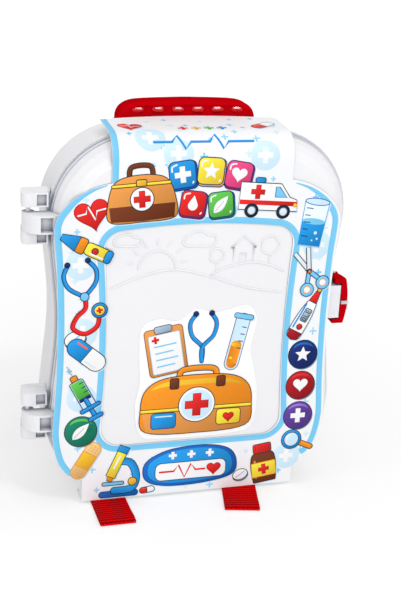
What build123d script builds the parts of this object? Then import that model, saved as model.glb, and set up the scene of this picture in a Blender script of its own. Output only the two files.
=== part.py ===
"""Toy medical backpack: a hinged plastic case in a printed card sleeve, with webbing straps.

Millimetres, X to the viewer's right, Y back into the case, Z up. The case stands on z = 0,
x = 0 is its middle and y = 0 is the parting plane between the rear shell and the lid.
"""

from build123d import *
import math
import os

os.makedirs("parts", exist_ok=True)

# Case outline, seen from the front
case_base_z = 2.0
case_height = 262.0
case_half_width = 106.0
waist_depth = 6.0
waist_radius = 200.0
corner_radius = 60.0

# Rear shell
flange_depth = 3.5
body_inset = 2.0
body_depth = 57.0
body_wall = 2.0
body_back_bevel = 15.0
foot_half_width = 18.0
foot_depth = 44.0
wall_overlap = 0.5

# Lid
parting_gap = 0.5
lid_depth = 18.0
lid_band_inset = 2.0
lid_band_depth = 3.0
lid_body_inset = 3.0
lid_wall = 1.8
lid_front_radius = 16.0
lid_bevel_ratio = 0.68
lip_clearance = 0.4
lip_thickness = 1.4
lip_reach = 2.0
lip_root = 6.0
lip_end_gap = 4.0

# Hinges
hinge_reach = 12.0
hinge_offset_z = 71.1
hinge_rise = 2.5
rear_knuckle_height = 9.4
rear_knuckle_radius = 4.5
rear_knuckle_back_y = 13.0
rear_knuckle_lean = 1.4
rear_knuckle_corner = 3.0
rear_pocket_width = 6.4
rear_pocket_depth = 3.0
rear_pocket_ledge = 1.0
arm_side_gap = 1.2
lid_knuckle_height = 12.3
lid_knuckle_radius = 4.2
lid_knuckle_setback = 3.0
lid_knuckle_corner = 13.3
lid_knuckle_root = 1.0
lid_pocket_inset = 10.4
lid_pocket_width = 8.2
lid_pocket_depth = 6.0
lid_pocket_ledge = 1.2
knuckle_seat_gap = 0.2
knuckle_lift_gap = 3.3
hinge_pin_radius = 1.5
hinge_pin_cover = 2.0
fixed_pin_clearance = 0.02
running_pin_clearance = 0.08

# Latch
latch_reach = 6.5
latch_y = 9.0
latch_rise = 5.75
clasp_height = 33.7
clasp_cheek = 3.3
clasp_end_radius = 3.4
clasp_front_y = -7.0
clasp_bulge = 2.2
clasp_right_offset = 6.0
clasp_left_offset = 4.5
clasp_plate_offset = 1.8
clasp_plate_back = 3.6
clasp_lip_offset = 0.6
clasp_lip_depth = 1.4
clasp_end_chamfer = 1.2
lug_radius = 3.0
lug_gap = 0.45
latch_pin_radius = 1.2
latch_pin_slack = 0.1
latch_head_radius = 1.9
latch_head_height = 0.7
catch_clearance = 0.1
catch_ridge = 0.8
catch_ridge_gap = 0.2
catch_ridge_depth = 2.4
catch_ridge_tip = 0.9
catch_proud = 1.0
catch_depth = 6.5
catch_end_gap = 1.3
tie_height = 2.4
tie_thickness = 0.6
tie_clearance = 0.15
tie_slot_clearance = 0.4
tie_drop = 1.0
tie_back_gap = 2.2
tie_tail_length = 6.0
tie_tail_width = 1.4

# Carry handle and the finger well under it
handle_x = -2.0
handle_half_width = 49.2
handle_drop = 1.5
handle_height = 14.7
handle_depth = 16.0
handle_back_setback = 7.0
handle_foot_taper = 0.5
handle_shoulder_rise = 4.5
handle_shoulder_x = 39.8
handle_shoulder_radius = 8.0
handle_crown_half_width = 12.0
handle_crown_drop = 1.4
handle_edge_radius = 3.2
handle_opening_half_width = 33.0
handle_opening_rise = 2.0
grip_panel_half_width = 37.0
grip_panel_height = 10.6
grip_panel_depth = 0.8
grip_panel_radius = 6.0
grip_count = 6
grip_pitch = 14.3
grip_length = 8.6
grip_width = 4.6
grip_proud = 1.0
grip_rise = 8.1
boss_half_width = 8.0
boss_centre_offset = 41.5
boss_depth = 15.0
boss_height = 6.5
peg_width = 9.0
peg_depth = 7.0
peg_length = 4.5
peg_clearance = 0.05
peg_hole_spare = 3.0
well_side_gap = 0.5
well_front_gap = 4.0
well_depth = 12.5
well_radius = 6.0

# Straps
strap_width = 25.0
strap_thickness = 0.9
strap_layer_gap = 0.1
strap_back_gap = 0.15
strap_inner_radius = 18.6
strap_left_x = -63.1
strap_right_x = 44.0
strap_right_turn = 13.0
strap_left_front_length = 74.0
strap_right_front_length = 74.0
strap_turn_y = 22.0
strap_tail_length = 11.0
slot_side_clearance = 1.5
slot_height = 3.5
slot_lower_rise = 42.0
slot_upper_drop = 38.0
slider_z = 120.0
slider_side_clearance = 0.5
slider_back_gap = 0.2
slider_bar = 4.4
slider_outer_offset = 10.5
slider_outer_bar = 3.0
slider_rail = 3.0
slider_corner = 1.6
slider_thickness = 2.0
slider_layer_gap = 0.1
slider_hump = 1.2
hump_reach = 3.6
hump_run = 4.9

# Card sleeve and sticker
card_thickness = 0.4
card_face_gap = 0.3
card_x = -3.8
card_side_inset = 6.0
card_waist_inset = 9.0
card_lower_z = 60.0
card_corner_z = 20.0
card_upper_drop = 62.0
card_tab_half_width = 78.5
card_tab_z = 2.2
card_tab_depth = 17.7
card_neck_half_width = 62.5
card_neck_drop = 31.0
card_bend_radius = 18.0
card_top_gap = 0.25
card_rise_angle = 4.0
card_handle_gap = 3.0
card_flap_crown = 7.0
gusset_height = 20.8
gusset_depth = 12.7
window_half_width = 64.0
window_end_half_width = 67.0
window_bottom_z = 43.5
window_top_drop = 63.0
window_arch = 3.0
window_radius = 14.0
sticker_thickness = 0.2
sticker_x = -1.0
sticker_z = 95.0
sticker_half_width = 46.0
sticker_half_height = 50.0
sticker_radius = 16.0

# Case levels and angles
quarter_turn = math.pi / 2
case_mid_z = case_base_z + case_height / 2
case_top_z = case_base_z + case_height
side_run = case_height - 2 * corner_radius
side_drop = waist_radius + corner_radius - waist_depth
side_bend = math.atan(side_run / 2 / side_drop) - math.acos(
    (waist_radius + corner_radius) / math.hypot(side_run / 2, side_drop)
)

# Hinge places
hinge_x = -(case_half_width + hinge_reach)
hinge_mid_z = case_mid_z + hinge_rise
hinge_levels = (hinge_mid_z - hinge_offset_z, hinge_mid_z + hinge_offset_z)
knuckle_gaps = knuckle_seat_gap + knuckle_lift_gap
stack_height = 2 * rear_knuckle_height + lid_knuckle_height + knuckle_gaps

# Latch places
latch_x = case_half_width - waist_depth + latch_reach
latch_mid_z = case_mid_z + latch_rise
clasp_low_z = latch_mid_z - clasp_height / 2
clasp_right_x = latch_x + clasp_right_offset
clasp_plate_x = latch_x + clasp_plate_offset
clasp_lip_x = latch_x + clasp_lip_offset
clasp_lip_back_y = clasp_front_y + clasp_lip_depth
clasp_inner_height = clasp_height - 2 * clasp_cheek
tie_z = latch_mid_z - tie_drop
tie_back_y = latch_y - clasp_plate_back - tie_back_gap

# Handle places
handle_foot_z = case_top_z - handle_drop
handle_top_z = handle_foot_z + handle_height
handle_opening_z = handle_foot_z + handle_opening_rise
handle_back_y = body_depth - handle_back_setback
handle_front_y = handle_back_y - handle_depth
handle_mid_y = (handle_front_y + handle_back_y) / 2
grip_panel_y = handle_front_y + grip_panel_depth
well_floor_z = handle_foot_z - well_depth
well_front_y = handle_front_y - well_front_gap
well_half_width = handle_opening_half_width - well_side_gap

# Strap places
strap_pitch = strap_thickness + strap_layer_gap
strap_outer_radius = strap_inner_radius + strap_pitch
strap_bend_y = body_depth + strap_back_gap + strap_thickness / 2 - strap_inner_radius
strap_bend_z = strap_outer_radius + strap_thickness / 2
strap_tail_y = body_depth - strap_tail_length
slot_width = strap_width + 2 * slot_side_clearance
slot_levels = (case_base_z + slot_lower_rise, case_top_z - slot_upper_drop)
slider_front_y = body_depth + slider_back_gap

# Card places
card_back_y = -lid_depth - card_face_gap
card_front_y = card_back_y - card_thickness
card_half_width = case_half_width - card_side_inset
card_waist_half_width = case_half_width - card_waist_inset
card_upper_z = case_top_z - card_upper_drop
card_neck_z = case_top_z - card_neck_drop
card_top_z = case_top_z + card_top_gap + card_thickness / 2
card_rise = math.radians(card_rise_angle)
card_bend_z = card_top_z - card_bend_radius * math.cos(card_rise)
card_flap_back_y = handle_front_y - card_handle_gap
window_top_z = case_top_z - window_top_drop


def save(piece, name):
    """Label one finished piece and write its STEP file."""
    piece.part.label = name
    export_step(piece.part, f"parts/{name}.step")


def case_outline(depth_y, inset):
    """Case outline at y = depth_y, pulled in on every side by inset."""
    radius = corner_radius - inset
    centre_x = case_half_width - corner_radius
    low_z = case_base_z + corner_radius
    high_z = low_z + side_run
    top_z = high_z + radius
    bottom_z = low_z - radius
    bend = math.degrees(side_bend)
    waist_x = case_half_width - waist_depth + waist_radius
    reach = waist_radius + inset
    with BuildSketch(Plane.XZ.offset(-depth_y)) as sketch:
        with BuildLine():
            right_low = CenterArc((centre_x, low_z), radius, -90, 90 + bend)
            right_waist = CenterArc((waist_x, case_mid_z), reach, 180 + bend, -2 * bend)
            right_high = CenterArc((centre_x, high_z), radius, -bend, 90 + bend)
            Line(right_low @ 1, right_waist @ 0)
            Line(right_waist @ 1, right_high @ 0)
            Line((centre_x, top_z), (-centre_x, top_z))
            left_high = CenterArc((-centre_x, high_z), radius, 90, 90 + bend)
            left_waist = CenterArc((-waist_x, case_mid_z), reach, bend, -2 * bend)
            left_low = CenterArc((-centre_x, low_z), radius, 180 - bend, 90 + bend)
            Line(left_high @ 1, left_waist @ 0)
            Line(left_waist @ 1, left_low @ 0)
            Line((-centre_x, bottom_z), (centre_x, bottom_z))
        make_face()
    return sketch.sketch


def block(low, high):
    """Box between two opposite corners, kept apart from any open part."""
    size = [high[i] - low[i] for i in range(3)]
    middle = [(high[i] + low[i]) / 2 for i in range(3)]
    return Pos(*middle) * Box(*size, mode=Mode.PRIVATE)


def prism(points, low_z, height):
    """Upright prism over a polygon given in X and Y."""
    with BuildPart() as piece:
        with BuildSketch(Plane.XY.offset(low_z)):
            with BuildLine():
                Polyline(*points, close=True)
            make_face()
        extrude(amount=height)
    return piece.part


def post(x, y, low_z, height, radius):
    """Upright cylinder standing at x, y from low_z."""
    with BuildPart() as piece:
        with BuildSketch(Plane.XY.offset(low_z)):
            with Locations((x, y)):
                Circle(radius)
        extrude(amount=height)
    return piece.part


def lid_side_x(y):
    """X of the lid's left side at depth y, where its front edge rounds away."""
    round_depth = max(0, -y - (lid_depth - lid_front_radius))
    drawn_in = lid_front_radius - math.sqrt(lid_front_radius**2 - round_depth**2)
    return -case_half_width + lid_body_inset + drawn_in


def rear_knuckle(low_z):
    """Rear hinge knuckle: a deep ear on the shell's side, round at the pin, with a front pocket."""
    arm_x = -case_half_width + lid_band_inset - arm_side_gap
    wall_x = -case_half_width + body_inset + wall_overlap
    back_x = hinge_x - rear_knuckle_radius + rear_knuckle_lean
    pocket_x = arm_x - arm_side_gap
    front_y = -rear_knuckle_radius
    with BuildPart() as piece:
        with BuildSketch(Plane.XY.offset(low_z)) as plan:
            with BuildLine():
                Line((hinge_x, front_y), (arm_x, front_y))
                Line((arm_x, front_y), (arm_x, wall_overlap))
                Line((arm_x, wall_overlap), (wall_x, wall_overlap))
                Line((wall_x, wall_overlap), (wall_x, rear_knuckle_back_y))
                Line((wall_x, rear_knuckle_back_y), (back_x, rear_knuckle_back_y))
                Line((back_x, rear_knuckle_back_y), (hinge_x - rear_knuckle_radius, 0))
                CenterArc((hinge_x, 0), rear_knuckle_radius, 180, 90)
            make_face()
            corner = plan.vertices().sort_by_distance((back_x, rear_knuckle_back_y))[0]
            fillet(corner, rear_knuckle_corner)
        extrude(amount=rear_knuckle_height)
        pocket_low = (pocket_x - rear_pocket_width, front_y - 1, low_z + rear_pocket_ledge)
        pocket_top_z = low_z + rear_knuckle_height - rear_pocket_ledge
        pocket_high = (pocket_x, front_y + rear_pocket_depth, pocket_top_z)
        add(block(pocket_low, pocket_high), mode=Mode.SUBTRACT)
    return piece.part


def hinge_bore(low_z):
    """Bore for one hinge pin, open below and covered on top of the upper rear knuckle."""
    bore_height = stack_height - hinge_pin_cover + 1
    return post(hinge_x, 0, low_z - 1, bore_height, hinge_pin_radius + fixed_pin_clearance)


def lid_knuckle(low_z):
    """Lid hinge knuckle: a block swept from the pin round to the front, with a pocket."""
    left_x = hinge_x - lid_knuckle_radius
    front_y = -lid_depth + lid_knuckle_setback
    corner_x = left_x + lid_knuckle_corner
    corner_y = front_y + lid_knuckle_corner
    levels = (-2 * parting_gap, (front_y - 2 * parting_gap) / 2, front_y)
    root = [(lid_side_x(y) + lid_knuckle_root, y) for y in levels]
    pocket_x = corner_x - lid_knuckle_corner + lid_pocket_inset
    pocket_low = (pocket_x, front_y - 1, low_z + lid_pocket_ledge)
    pocket_top_z = low_z + lid_knuckle_height - lid_pocket_ledge
    pocket_high = (pocket_x + lid_pocket_width, front_y + lid_pocket_depth, pocket_top_z)
    with BuildPart() as piece:
        with BuildSketch(Plane.XY.offset(low_z)):
            with BuildLine():
                Polyline((hinge_x, levels[0]), *root, (corner_x, front_y))
                CenterArc((corner_x, corner_y), lid_knuckle_corner, 270, -90)
                Polyline((left_x, corner_y), (left_x, 0), (hinge_x, 0), (hinge_x, levels[0]))
            make_face()
            with Locations((hinge_x, 0)):
                Circle(lid_knuckle_radius)
        extrude(amount=lid_knuckle_height)
        add(block(pocket_low, pocket_high), mode=Mode.SUBTRACT)
        bore = hinge_pin_radius + running_pin_clearance
        add(post(hinge_x, 0, low_z - 1, lid_knuckle_height + 2, bore), mode=Mode.SUBTRACT)
    return piece.part


def latch_lug():
    """Lug on the rear shell that carries the clasp pin."""
    height = clasp_inner_height - 2 * lug_gap
    low_z = latch_mid_z - height / 2
    wall_x = case_half_width - waist_depth - body_inset - wall_overlap
    outline = [
        (wall_x, latch_y - lug_radius),
        (latch_x, latch_y - lug_radius),
        (latch_x, latch_y + lug_radius),
        (wall_x, latch_y + lug_radius),
    ]
    with BuildPart() as piece:
        add(prism(outline, low_z, height))
        add(post(latch_x, latch_y, low_z, height, lug_radius))
        bore = latch_pin_radius + fixed_pin_clearance
        add(post(latch_x, latch_y, low_z - 1, height + 2, bore), mode=Mode.SUBTRACT)
    return piece.part


def handle_centres():
    """X of the two handle feet."""
    return (handle_x - boss_centre_offset, handle_x + boss_centre_offset)


def well(grown):
    """Finger well under the handle, open at its top and back, grown on its sides by a wall."""
    half = well_half_width + grown
    low_z = well_floor_z - grown
    with BuildPart() as piece:
        with BuildSketch(Plane.XZ.offset(-body_depth - 1)) as profile:
            with Locations((handle_x, (low_z + handle_top_z) / 2)):
                Rectangle(2 * half, handle_top_z - low_z)
            fillet(profile.vertices().group_by(Axis.Y)[0], well_radius)
        extrude(amount=body_depth + 1 - well_front_y + grown)
    return piece.part


def rear_body():
    """Hollow body of the rear shell with its rim flange and the walled finger well."""
    bevel = body_back_bevel - (2 - math.sqrt(2)) * body_wall
    with BuildPart() as outer:
        extrude(case_outline(0, body_inset), amount=-body_depth)
        chamfer(outer.faces().sort_by(Axis.Y)[-1].edges(), body_back_bevel)
        extrude(case_outline(0, 0), amount=-flange_depth)
    with BuildPart() as cavity:
        extrude(case_outline(0, body_inset + body_wall), amount=-(body_depth - body_wall))
        chamfer(cavity.faces().sort_by(Axis.Y)[-1].edges(), bevel)
        add(well(body_wall), mode=Mode.SUBTRACT)
    return outer.part - cavity.part - well(0)


def rear_shell():
    """Rear half of the case with knuckles, lug, handle bosses, strap slots and standing foot."""
    with BuildPart() as shell:
        add(rear_body())
        for level in hinge_levels:
            low_z = level - stack_height / 2
            add(rear_knuckle(low_z))
            add(rear_knuckle(low_z + stack_height - rear_knuckle_height))
            add(hinge_bore(low_z), mode=Mode.SUBTRACT)
        add(latch_lug())
        foot_top_z = case_base_z + body_inset + wall_overlap
        add(block((-foot_half_width, 0, 0), (foot_half_width, foot_depth, foot_top_z)))
        for x in handle_centres():
            low = (x - boss_half_width, handle_mid_y - boss_depth / 2, handle_foot_z - boss_height)
            high = (x + boss_half_width, handle_mid_y + boss_depth / 2, handle_foot_z)
            add(block(low, high))
            half_x = peg_width / 2 + peg_clearance
            half_y = peg_depth / 2 + peg_clearance
            hole_low_z = handle_foot_z - peg_length - peg_hole_spare
            hole_low = (x - half_x, handle_mid_y - half_y, hole_low_z)
            hole_high = (x + half_x, handle_mid_y + half_y, handle_foot_z + 1)
            add(block(hole_low, hole_high), mode=Mode.SUBTRACT)
        for x in (strap_left_x, strap_right_x):
            for z in slot_levels:
                low = (x - slot_width / 2, body_depth - 2 * body_wall, z - slot_height / 2)
                high = (x + slot_width / 2, body_depth + body_wall, z + slot_height / 2)
                add(block(low, high), mode=Mode.SUBTRACT)
    save(shell, "rear_shell")


def lid_body():
    """Hollow shell of the lid with its rim band and its front edge rounded in three flats."""
    cavity_depth = lid_depth - lid_wall - parting_gap
    bevel = lid_bevel_ratio * (lid_front_radius - lid_wall)
    wide_cut = (2 - math.sqrt(2)) * lid_front_radius
    narrow_cut = (math.tan(quarter_turn / 4) - math.tan(quarter_turn / 8)) * lid_front_radius
    with BuildPart() as outer:
        extrude(case_outline(-parting_gap, lid_body_inset), amount=lid_depth - parting_gap)
        chamfer(outer.faces().sort_by(Axis.Y)[0].edges(), wide_cut)
        rims = outer.edges().group_by(Axis.Y)
        chamfer(rims[0] + rims[2], narrow_cut)
        extrude(case_outline(-parting_gap, lid_band_inset), amount=lid_band_depth)
    with BuildPart() as cavity:
        extrude(case_outline(-parting_gap, lid_body_inset + lid_wall), amount=cavity_depth)
        chamfer(cavity.faces().sort_by(Axis.Y)[0].edges(), bevel)
    return outer.part - cavity.part


def lid_lips():
    """Straight lips at the lid's top and bottom that enter the rear shell and line the halves up."""
    half_x = case_half_width - corner_radius - lip_end_gap
    gap = body_inset + body_wall + lip_clearance
    lips = []
    for edge_z, inward in ((case_base_z + gap, 1), (case_top_z - gap, -1)):
        far_z = edge_z + inward * lip_thickness
        low = (-half_x, -lip_root, min(edge_z, far_z))
        high = (half_x, lip_reach, max(edge_z, far_z))
        lips.append(block(low, high))
    return lips


def catch_boss():
    """White boss on the lid's right side with the ridge the clasp closes behind."""
    root_x = case_half_width - waist_depth - lid_body_inset - 2 * wall_overlap
    tip_x = clasp_lip_x - catch_clearance
    face_x = tip_x - catch_ridge
    front_y = clasp_front_y - catch_proud
    ridge_y = clasp_lip_back_y + catch_ridge_gap
    outline = [
        (root_x, front_y),
        (face_x, front_y),
        (face_x, ridge_y),
        (tip_x, ridge_y + catch_ridge_tip),
        (face_x, ridge_y + catch_ridge_depth),
        (face_x, front_y + catch_depth),
        (root_x, front_y + catch_depth),
    ]
    height = clasp_inner_height - 2 * catch_end_gap
    return prism(outline, latch_mid_z - height / 2, height)


def lid():
    """Front half of the case."""
    with BuildPart() as shell:
        add(lid_body())
        add(lid_lips())
        for level in hinge_levels:
            add(lid_knuckle(level - stack_height / 2 + rear_knuckle_height + knuckle_seat_gap))
        add(catch_boss())
    save(shell, "lid")


def hinge_pins():
    """One plain pin for each hinge stack, pressed in from below."""
    for name, level in zip(("hinge_pin_lower", "hinge_pin_upper"), hinge_levels):
        length = stack_height - hinge_pin_cover
        with BuildPart() as pin:
            add(post(hinge_x, 0, level - stack_height / 2, length, hinge_pin_radius))
        save(pin, name)


def latch_pin():
    """Pin of the clasp, headed at both ends."""
    half = clasp_height / 2 + latch_pin_slack
    with BuildPart() as pin:
        add(post(latch_x, latch_y, latch_mid_z - half, 2 * half, latch_pin_radius))
        for head_z in (latch_mid_z + half, latch_mid_z - half - latch_head_height):
            add(post(latch_x, latch_y, head_z, latch_head_height, latch_head_radius))
    save(pin, "latch_pin")


def clasp_side_x(y):
    """X of the clasp's outer side at depth y, at the clasp's middle height."""
    end_x = latch_x + clasp_end_radius
    slope = (clasp_right_x - end_x) / (latch_y - clasp_front_y)
    return clasp_right_x - slope * (y - clasp_front_y)


def clasp_curve():
    """Round bar along Y that trims the clasp's outer side to its outward curve."""
    half = clasp_height / 2
    radius = (half**2 + clasp_bulge**2) / (2 * clasp_bulge)
    back_y = latch_y + 2 * clasp_end_radius
    with BuildPart() as bar:
        with BuildSketch(Plane.XZ.offset(-back_y)):
            with Locations((clasp_right_x - radius, latch_mid_z)):
                Circle(radius)
        extrude(amount=back_y - clasp_front_y + clasp_lip_depth)
    return bar.part


def latch_clasp():
    """Red clasp: two cheeks on the pin joined by a bowed outer plate with a front lip."""
    left_x = latch_x - clasp_left_offset
    plate_back_y = latch_y - clasp_plate_back
    beyond_x = clasp_right_x + 1
    beyond_y = latch_y + clasp_end_radius + 1
    outline = [
        (left_x, clasp_front_y),
        (clasp_right_x, clasp_front_y),
        (clasp_side_x(latch_y), latch_y),
        (latch_x - clasp_end_radius, latch_y),
    ]
    pocket = [
        (left_x - 1, clasp_front_y - 1),
        (clasp_lip_x, clasp_front_y - 1),
        (clasp_lip_x, clasp_lip_back_y),
        (clasp_plate_x, clasp_lip_back_y),
        (clasp_plate_x, plate_back_y),
        (beyond_x, plate_back_y),
        (beyond_x, beyond_y),
        (left_x - 1, beyond_y),
    ]
    slot_half = tie_height / 2 + tie_slot_clearance
    with BuildPart() as clasp:
        add(prism(outline, clasp_low_z, clasp_height))
        outer_edges = clasp.faces().sort_by(Axis.X)[-1].edges()
        chamfer(outer_edges.filter_by(Axis.Z, reverse=True), clasp_end_chamfer)
        add(post(latch_x, latch_y, clasp_low_z, clasp_height, clasp_end_radius))
        add(clasp_curve(), mode=Mode.INTERSECT)
        add(prism(pocket, clasp_low_z + clasp_cheek, clasp_inner_height), mode=Mode.SUBTRACT)
        front_slot_low = (left_x, clasp_front_y - 1, tie_z - slot_half)
        front_slot_high = (clasp_plate_x, 0, tie_z + slot_half)
        add(block(front_slot_low, front_slot_high), mode=Mode.SUBTRACT)
        back_slot_low = (left_x, tie_back_y, tie_z - slot_half)
        back_slot_high = (beyond_x, plate_back_y + 1, tie_z + slot_half)
        add(block(back_slot_low, back_slot_high), mode=Mode.SUBTRACT)
        bore = latch_pin_radius + running_pin_clearance
        add(post(latch_x, latch_y, clasp_low_z - 1, clasp_height + 2, bore), mode=Mode.SUBTRACT)
    save(clasp, "latch_clasp")


def latch_tie():
    """Thin clear retail tie looped round the clasp's plate."""
    plate = [
        (clasp_plate_x, clasp_front_y),
        (clasp_right_x, clasp_front_y),
        (clasp_side_x(tie_back_y), tie_back_y),
        (clasp_plate_x, tie_back_y),
    ]
    with BuildPart() as tie:
        with BuildSketch(Plane.XY.offset(tie_z - tie_height / 2)):
            with BuildLine():
                Polyline(*plate, close=True)
            make_face()
            offset(amount=tie_clearance + tie_thickness, kind=Kind.INTERSECTION)
            with BuildLine():
                Polyline(*plate, close=True)
                offset(amount=tie_clearance, kind=Kind.INTERSECTION, mode=Mode.REPLACE)
            make_face(mode=Mode.SUBTRACT)
        extrude(amount=tie_height)
        tail_x = clasp_right_x + tie_clearance
        tail_high = (tail_x + tie_thickness, clasp_front_y + tie_tail_width, tie_z)
        add(block((tail_x, clasp_front_y, tie_z - tie_tail_length), tail_high))
    save(tie, "latch_tie")


def handle_profile():
    """Front view of the handle: a slightly arched bar with slanted, rounded shoulders on two feet."""
    side = [
        (handle_opening_half_width, handle_opening_z),
        (handle_opening_half_width, handle_foot_z),
        (handle_half_width, handle_foot_z),
        (handle_half_width - handle_foot_taper, handle_foot_z + handle_shoulder_rise),
        (handle_shoulder_x, handle_top_z - handle_crown_drop),
        (handle_crown_half_width, handle_top_z),
    ]
    right = [(handle_x + x, z) for x, z in side]
    left = [(handle_x - x, z) for x, z in reversed(side)]
    with BuildSketch(Plane.XZ.offset(-handle_front_y)) as profile:
        with BuildLine():
            Polyline(*right, *left, close=True)
        make_face()
        shoulders = [profile.vertices().sort_by_distance(p)[0] for p in right[3:5] + left[1:3]]
        fillet(shoulders, handle_shoulder_radius)
    return profile.sketch


def grip_panel():
    """Shallow panel sunk in the front of the handle between its ends."""
    low_z = handle_opening_z - 2 * grip_panel_radius
    high_z = handle_foot_z + grip_panel_height
    with BuildPart() as panel:
        with BuildSketch(Plane.XZ.offset(-grip_panel_y)):
            with Locations((handle_x, (low_z + high_z) / 2)):
                RectangleRounded(2 * grip_panel_half_width, high_z - low_z, grip_panel_radius)
        extrude(amount=2 * grip_panel_depth)
    return panel.part


def grip_bump(x):
    """One low half-round rib lying on the handle's front panel."""
    radius = (grip_width**2 / 4 + grip_proud**2) / (2 * grip_proud)
    middle_y = grip_panel_y - grip_proud + radius
    with BuildPart() as bump:
        with BuildSketch(Plane.YZ.offset(x - grip_length / 2)):
            with Locations((middle_y, handle_foot_z + grip_rise)):
                Circle(radius)
            with Locations((grip_panel_y - radius + wall_overlap, handle_foot_z + grip_rise)):
                Rectangle(2 * radius, 2 * radius, mode=Mode.INTERSECT)
        extrude(amount=grip_length)
    return bump.part


def carry_handle():
    """Red handle with round shoulders and edges, a front panel and a row of grip bumps."""
    with BuildPart() as handle:
        extrude(handle_profile(), amount=-handle_depth)
        front_edges = handle.faces().sort_by(Axis.Y)[0].edges()
        back_edges = handle.faces().sort_by(Axis.Y)[-1].edges()
        edges = front_edges + back_edges
        rim = [e for e in edges if e.bounding_box().max.Z > handle_opening_z + 1]
        fillet(rim, handle_edge_radius)
        add(grip_panel(), mode=Mode.SUBTRACT)
        for index in range(grip_count):
            add(grip_bump(handle_x + (index - (grip_count - 1) / 2) * grip_pitch))
        for x in handle_centres():
            low = (x - peg_width / 2, handle_mid_y - peg_depth / 2, handle_foot_z - peg_length)
            high = (x + peg_width / 2, handle_mid_y + peg_depth / 2, handle_foot_z + wall_overlap)
            add(block(low, high))
    save(handle, "carry_handle")


def strap_layer(x, radius, slot_z, low_z, hump):
    """Straight rear run of one strap layer: floor, bend up the back, and through its slot."""
    back_y = strap_bend_y + radius
    mid_z = low_z + strap_thickness / 2
    climb = [(back_y, strap_bend_z), (back_y, slot_z), (strap_tail_y, slot_z)]
    if hump:
        foot = hump_reach + hump_run
        heights = (slider_z - foot, slider_z - hump_reach, slider_z + hump_reach, slider_z + foot)
        climb[1:1] = [(back_y + rise, z) for rise, z in zip((0, hump, hump, 0), heights)]
    with BuildPart() as layer:
        with BuildSketch(Plane.YZ.offset(x - strap_width / 2)):
            with BuildLine():
                Line((strap_turn_y, mid_z), (strap_bend_y, mid_z))
                CenterArc((strap_bend_y, strap_bend_z), radius, -90, 90)
                Polyline(*climb)
            trace(line_width=strap_thickness)
        extrude(amount=strap_width)
    return layer.part


def strap_front(x, turn, length):
    """Flat front run of both layers with the fold at its end, turned about the strap's bend."""
    upper_z = strap_pitch
    fold_z = upper_z - strap_layer_gap / 2
    fold_radius = strap_pitch / 2
    start = -length + strap_thickness
    with BuildPart() as front:
        with BuildSketch(Plane.YZ.offset(-strap_width / 2)):
            with BuildLine():
                Line((0, strap_thickness / 2), (start, strap_thickness / 2))
                CenterArc((start, fold_z), fold_radius, -90, -180)
                Line((start, upper_z + strap_thickness / 2), (0, upper_z + strap_thickness / 2))
            trace(line_width=strap_thickness)
        extrude(amount=strap_width)
    return Pos(x, strap_turn_y, 0) * Rot(0, 0, -turn) * front.part


def strap_wedge(x, turn):
    """Webbing that fills the outer side of the strap's turn, one wedge in each layer."""
    half = strap_width / 2
    angle = math.radians(turn)
    corner = (x + half, strap_turn_y)
    turned = (x + half * math.cos(angle), strap_turn_y - half * math.sin(angle))
    outline = [(x, strap_turn_y), turned, corner]
    return [prism(outline, low_z, strap_thickness) for low_z in (0, strap_pitch)]


def strap(name, x, turn, length):
    """One webbing strap: two layers under and behind the case, folded at the front."""
    lower_slot_z, upper_slot_z = slot_levels
    with BuildPart() as webbing:
        add(strap_front(x, turn, length))
        if turn:
            add(strap_wedge(x, turn))
        add(strap_layer(x, strap_inner_radius, lower_slot_z, strap_pitch, 0))
        add(strap_layer(x, strap_outer_radius, upper_slot_z, 0, slider_hump))
    save(webbing, name)


def straps():
    """Both straps."""
    strap("strap_left", strap_left_x, 0, strap_left_front_length)
    strap("strap_right", strap_right_x, strap_right_turn, strap_right_front_length)


def strap_slider(name, x):
    """Three-bar slider: the webbing runs behind its end bars and over its middle bar."""
    half_x = strap_width / 2 + slider_side_clearance
    half_z = slider_outer_offset + slider_outer_bar / 2
    slot_end = slider_outer_offset - slider_outer_bar / 2
    bar_back_y = slider_front_y + slider_thickness
    step_y = bar_back_y + slider_layer_gap
    back_y = step_y + slider_thickness
    with BuildPart() as slider:
        with BuildSketch(Plane.XZ.offset(-slider_front_y)) as plate:
            with Locations((x, slider_z)):
                Rectangle(2 * (half_x + slider_rail), 2 * half_z)
            chamfer(plate.vertices(), slider_corner)
        extrude(amount=slider_front_y - back_y)
        for side in (-1, 1):
            near, slot, far = [slider_z + side * z for z in (slider_bar / 2, slot_end, half_z + 1)]
            low = (x - half_x, slider_front_y - 1, min(near, far))
            high = (x + half_x, step_y, max(near, far))
            add(block(low, high), mode=Mode.SUBTRACT)
            low = (x - half_x, slider_front_y - 1, min(near, slot))
            high = (x + half_x, back_y + 1, max(near, slot))
            add(block(low, high), mode=Mode.SUBTRACT)
        low = (x - half_x, bar_back_y, slider_z - slider_bar / 2)
        high = (x + half_x, back_y + 1, slider_z + slider_bar / 2)
        add(block(low, high), mode=Mode.SUBTRACT)
    save(slider, name)


def card_side(side):
    """Edge of the sleeve's front panel on one side, as lines and curves from the tab up."""
    def place(x, z):
        return (card_x + side * x, z)

    tab = card_tab_half_width
    neck = card_neck_half_width
    Line(place(tab, card_tab_z), place(tab, card_corner_z))
    Spline(
        place(tab, card_corner_z),
        place(card_half_width, card_lower_z),
        tangents=((side, 0), (0, 1)),
        tangent_scalars=(1, 1.4),
    )
    ThreePointArc(
        place(card_half_width, card_lower_z),
        place(card_waist_half_width, (card_lower_z + card_upper_z) / 2),
        place(card_half_width, card_upper_z),
    )
    Spline(
        place(card_half_width, card_upper_z),
        place(neck, card_neck_z),
        tangents=((0, 1), (-side, 0.1)),
        tangent_scalars=(1, 1),
    )
    Line(place(neck, card_neck_z), place(neck, card_bend_z))


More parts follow.
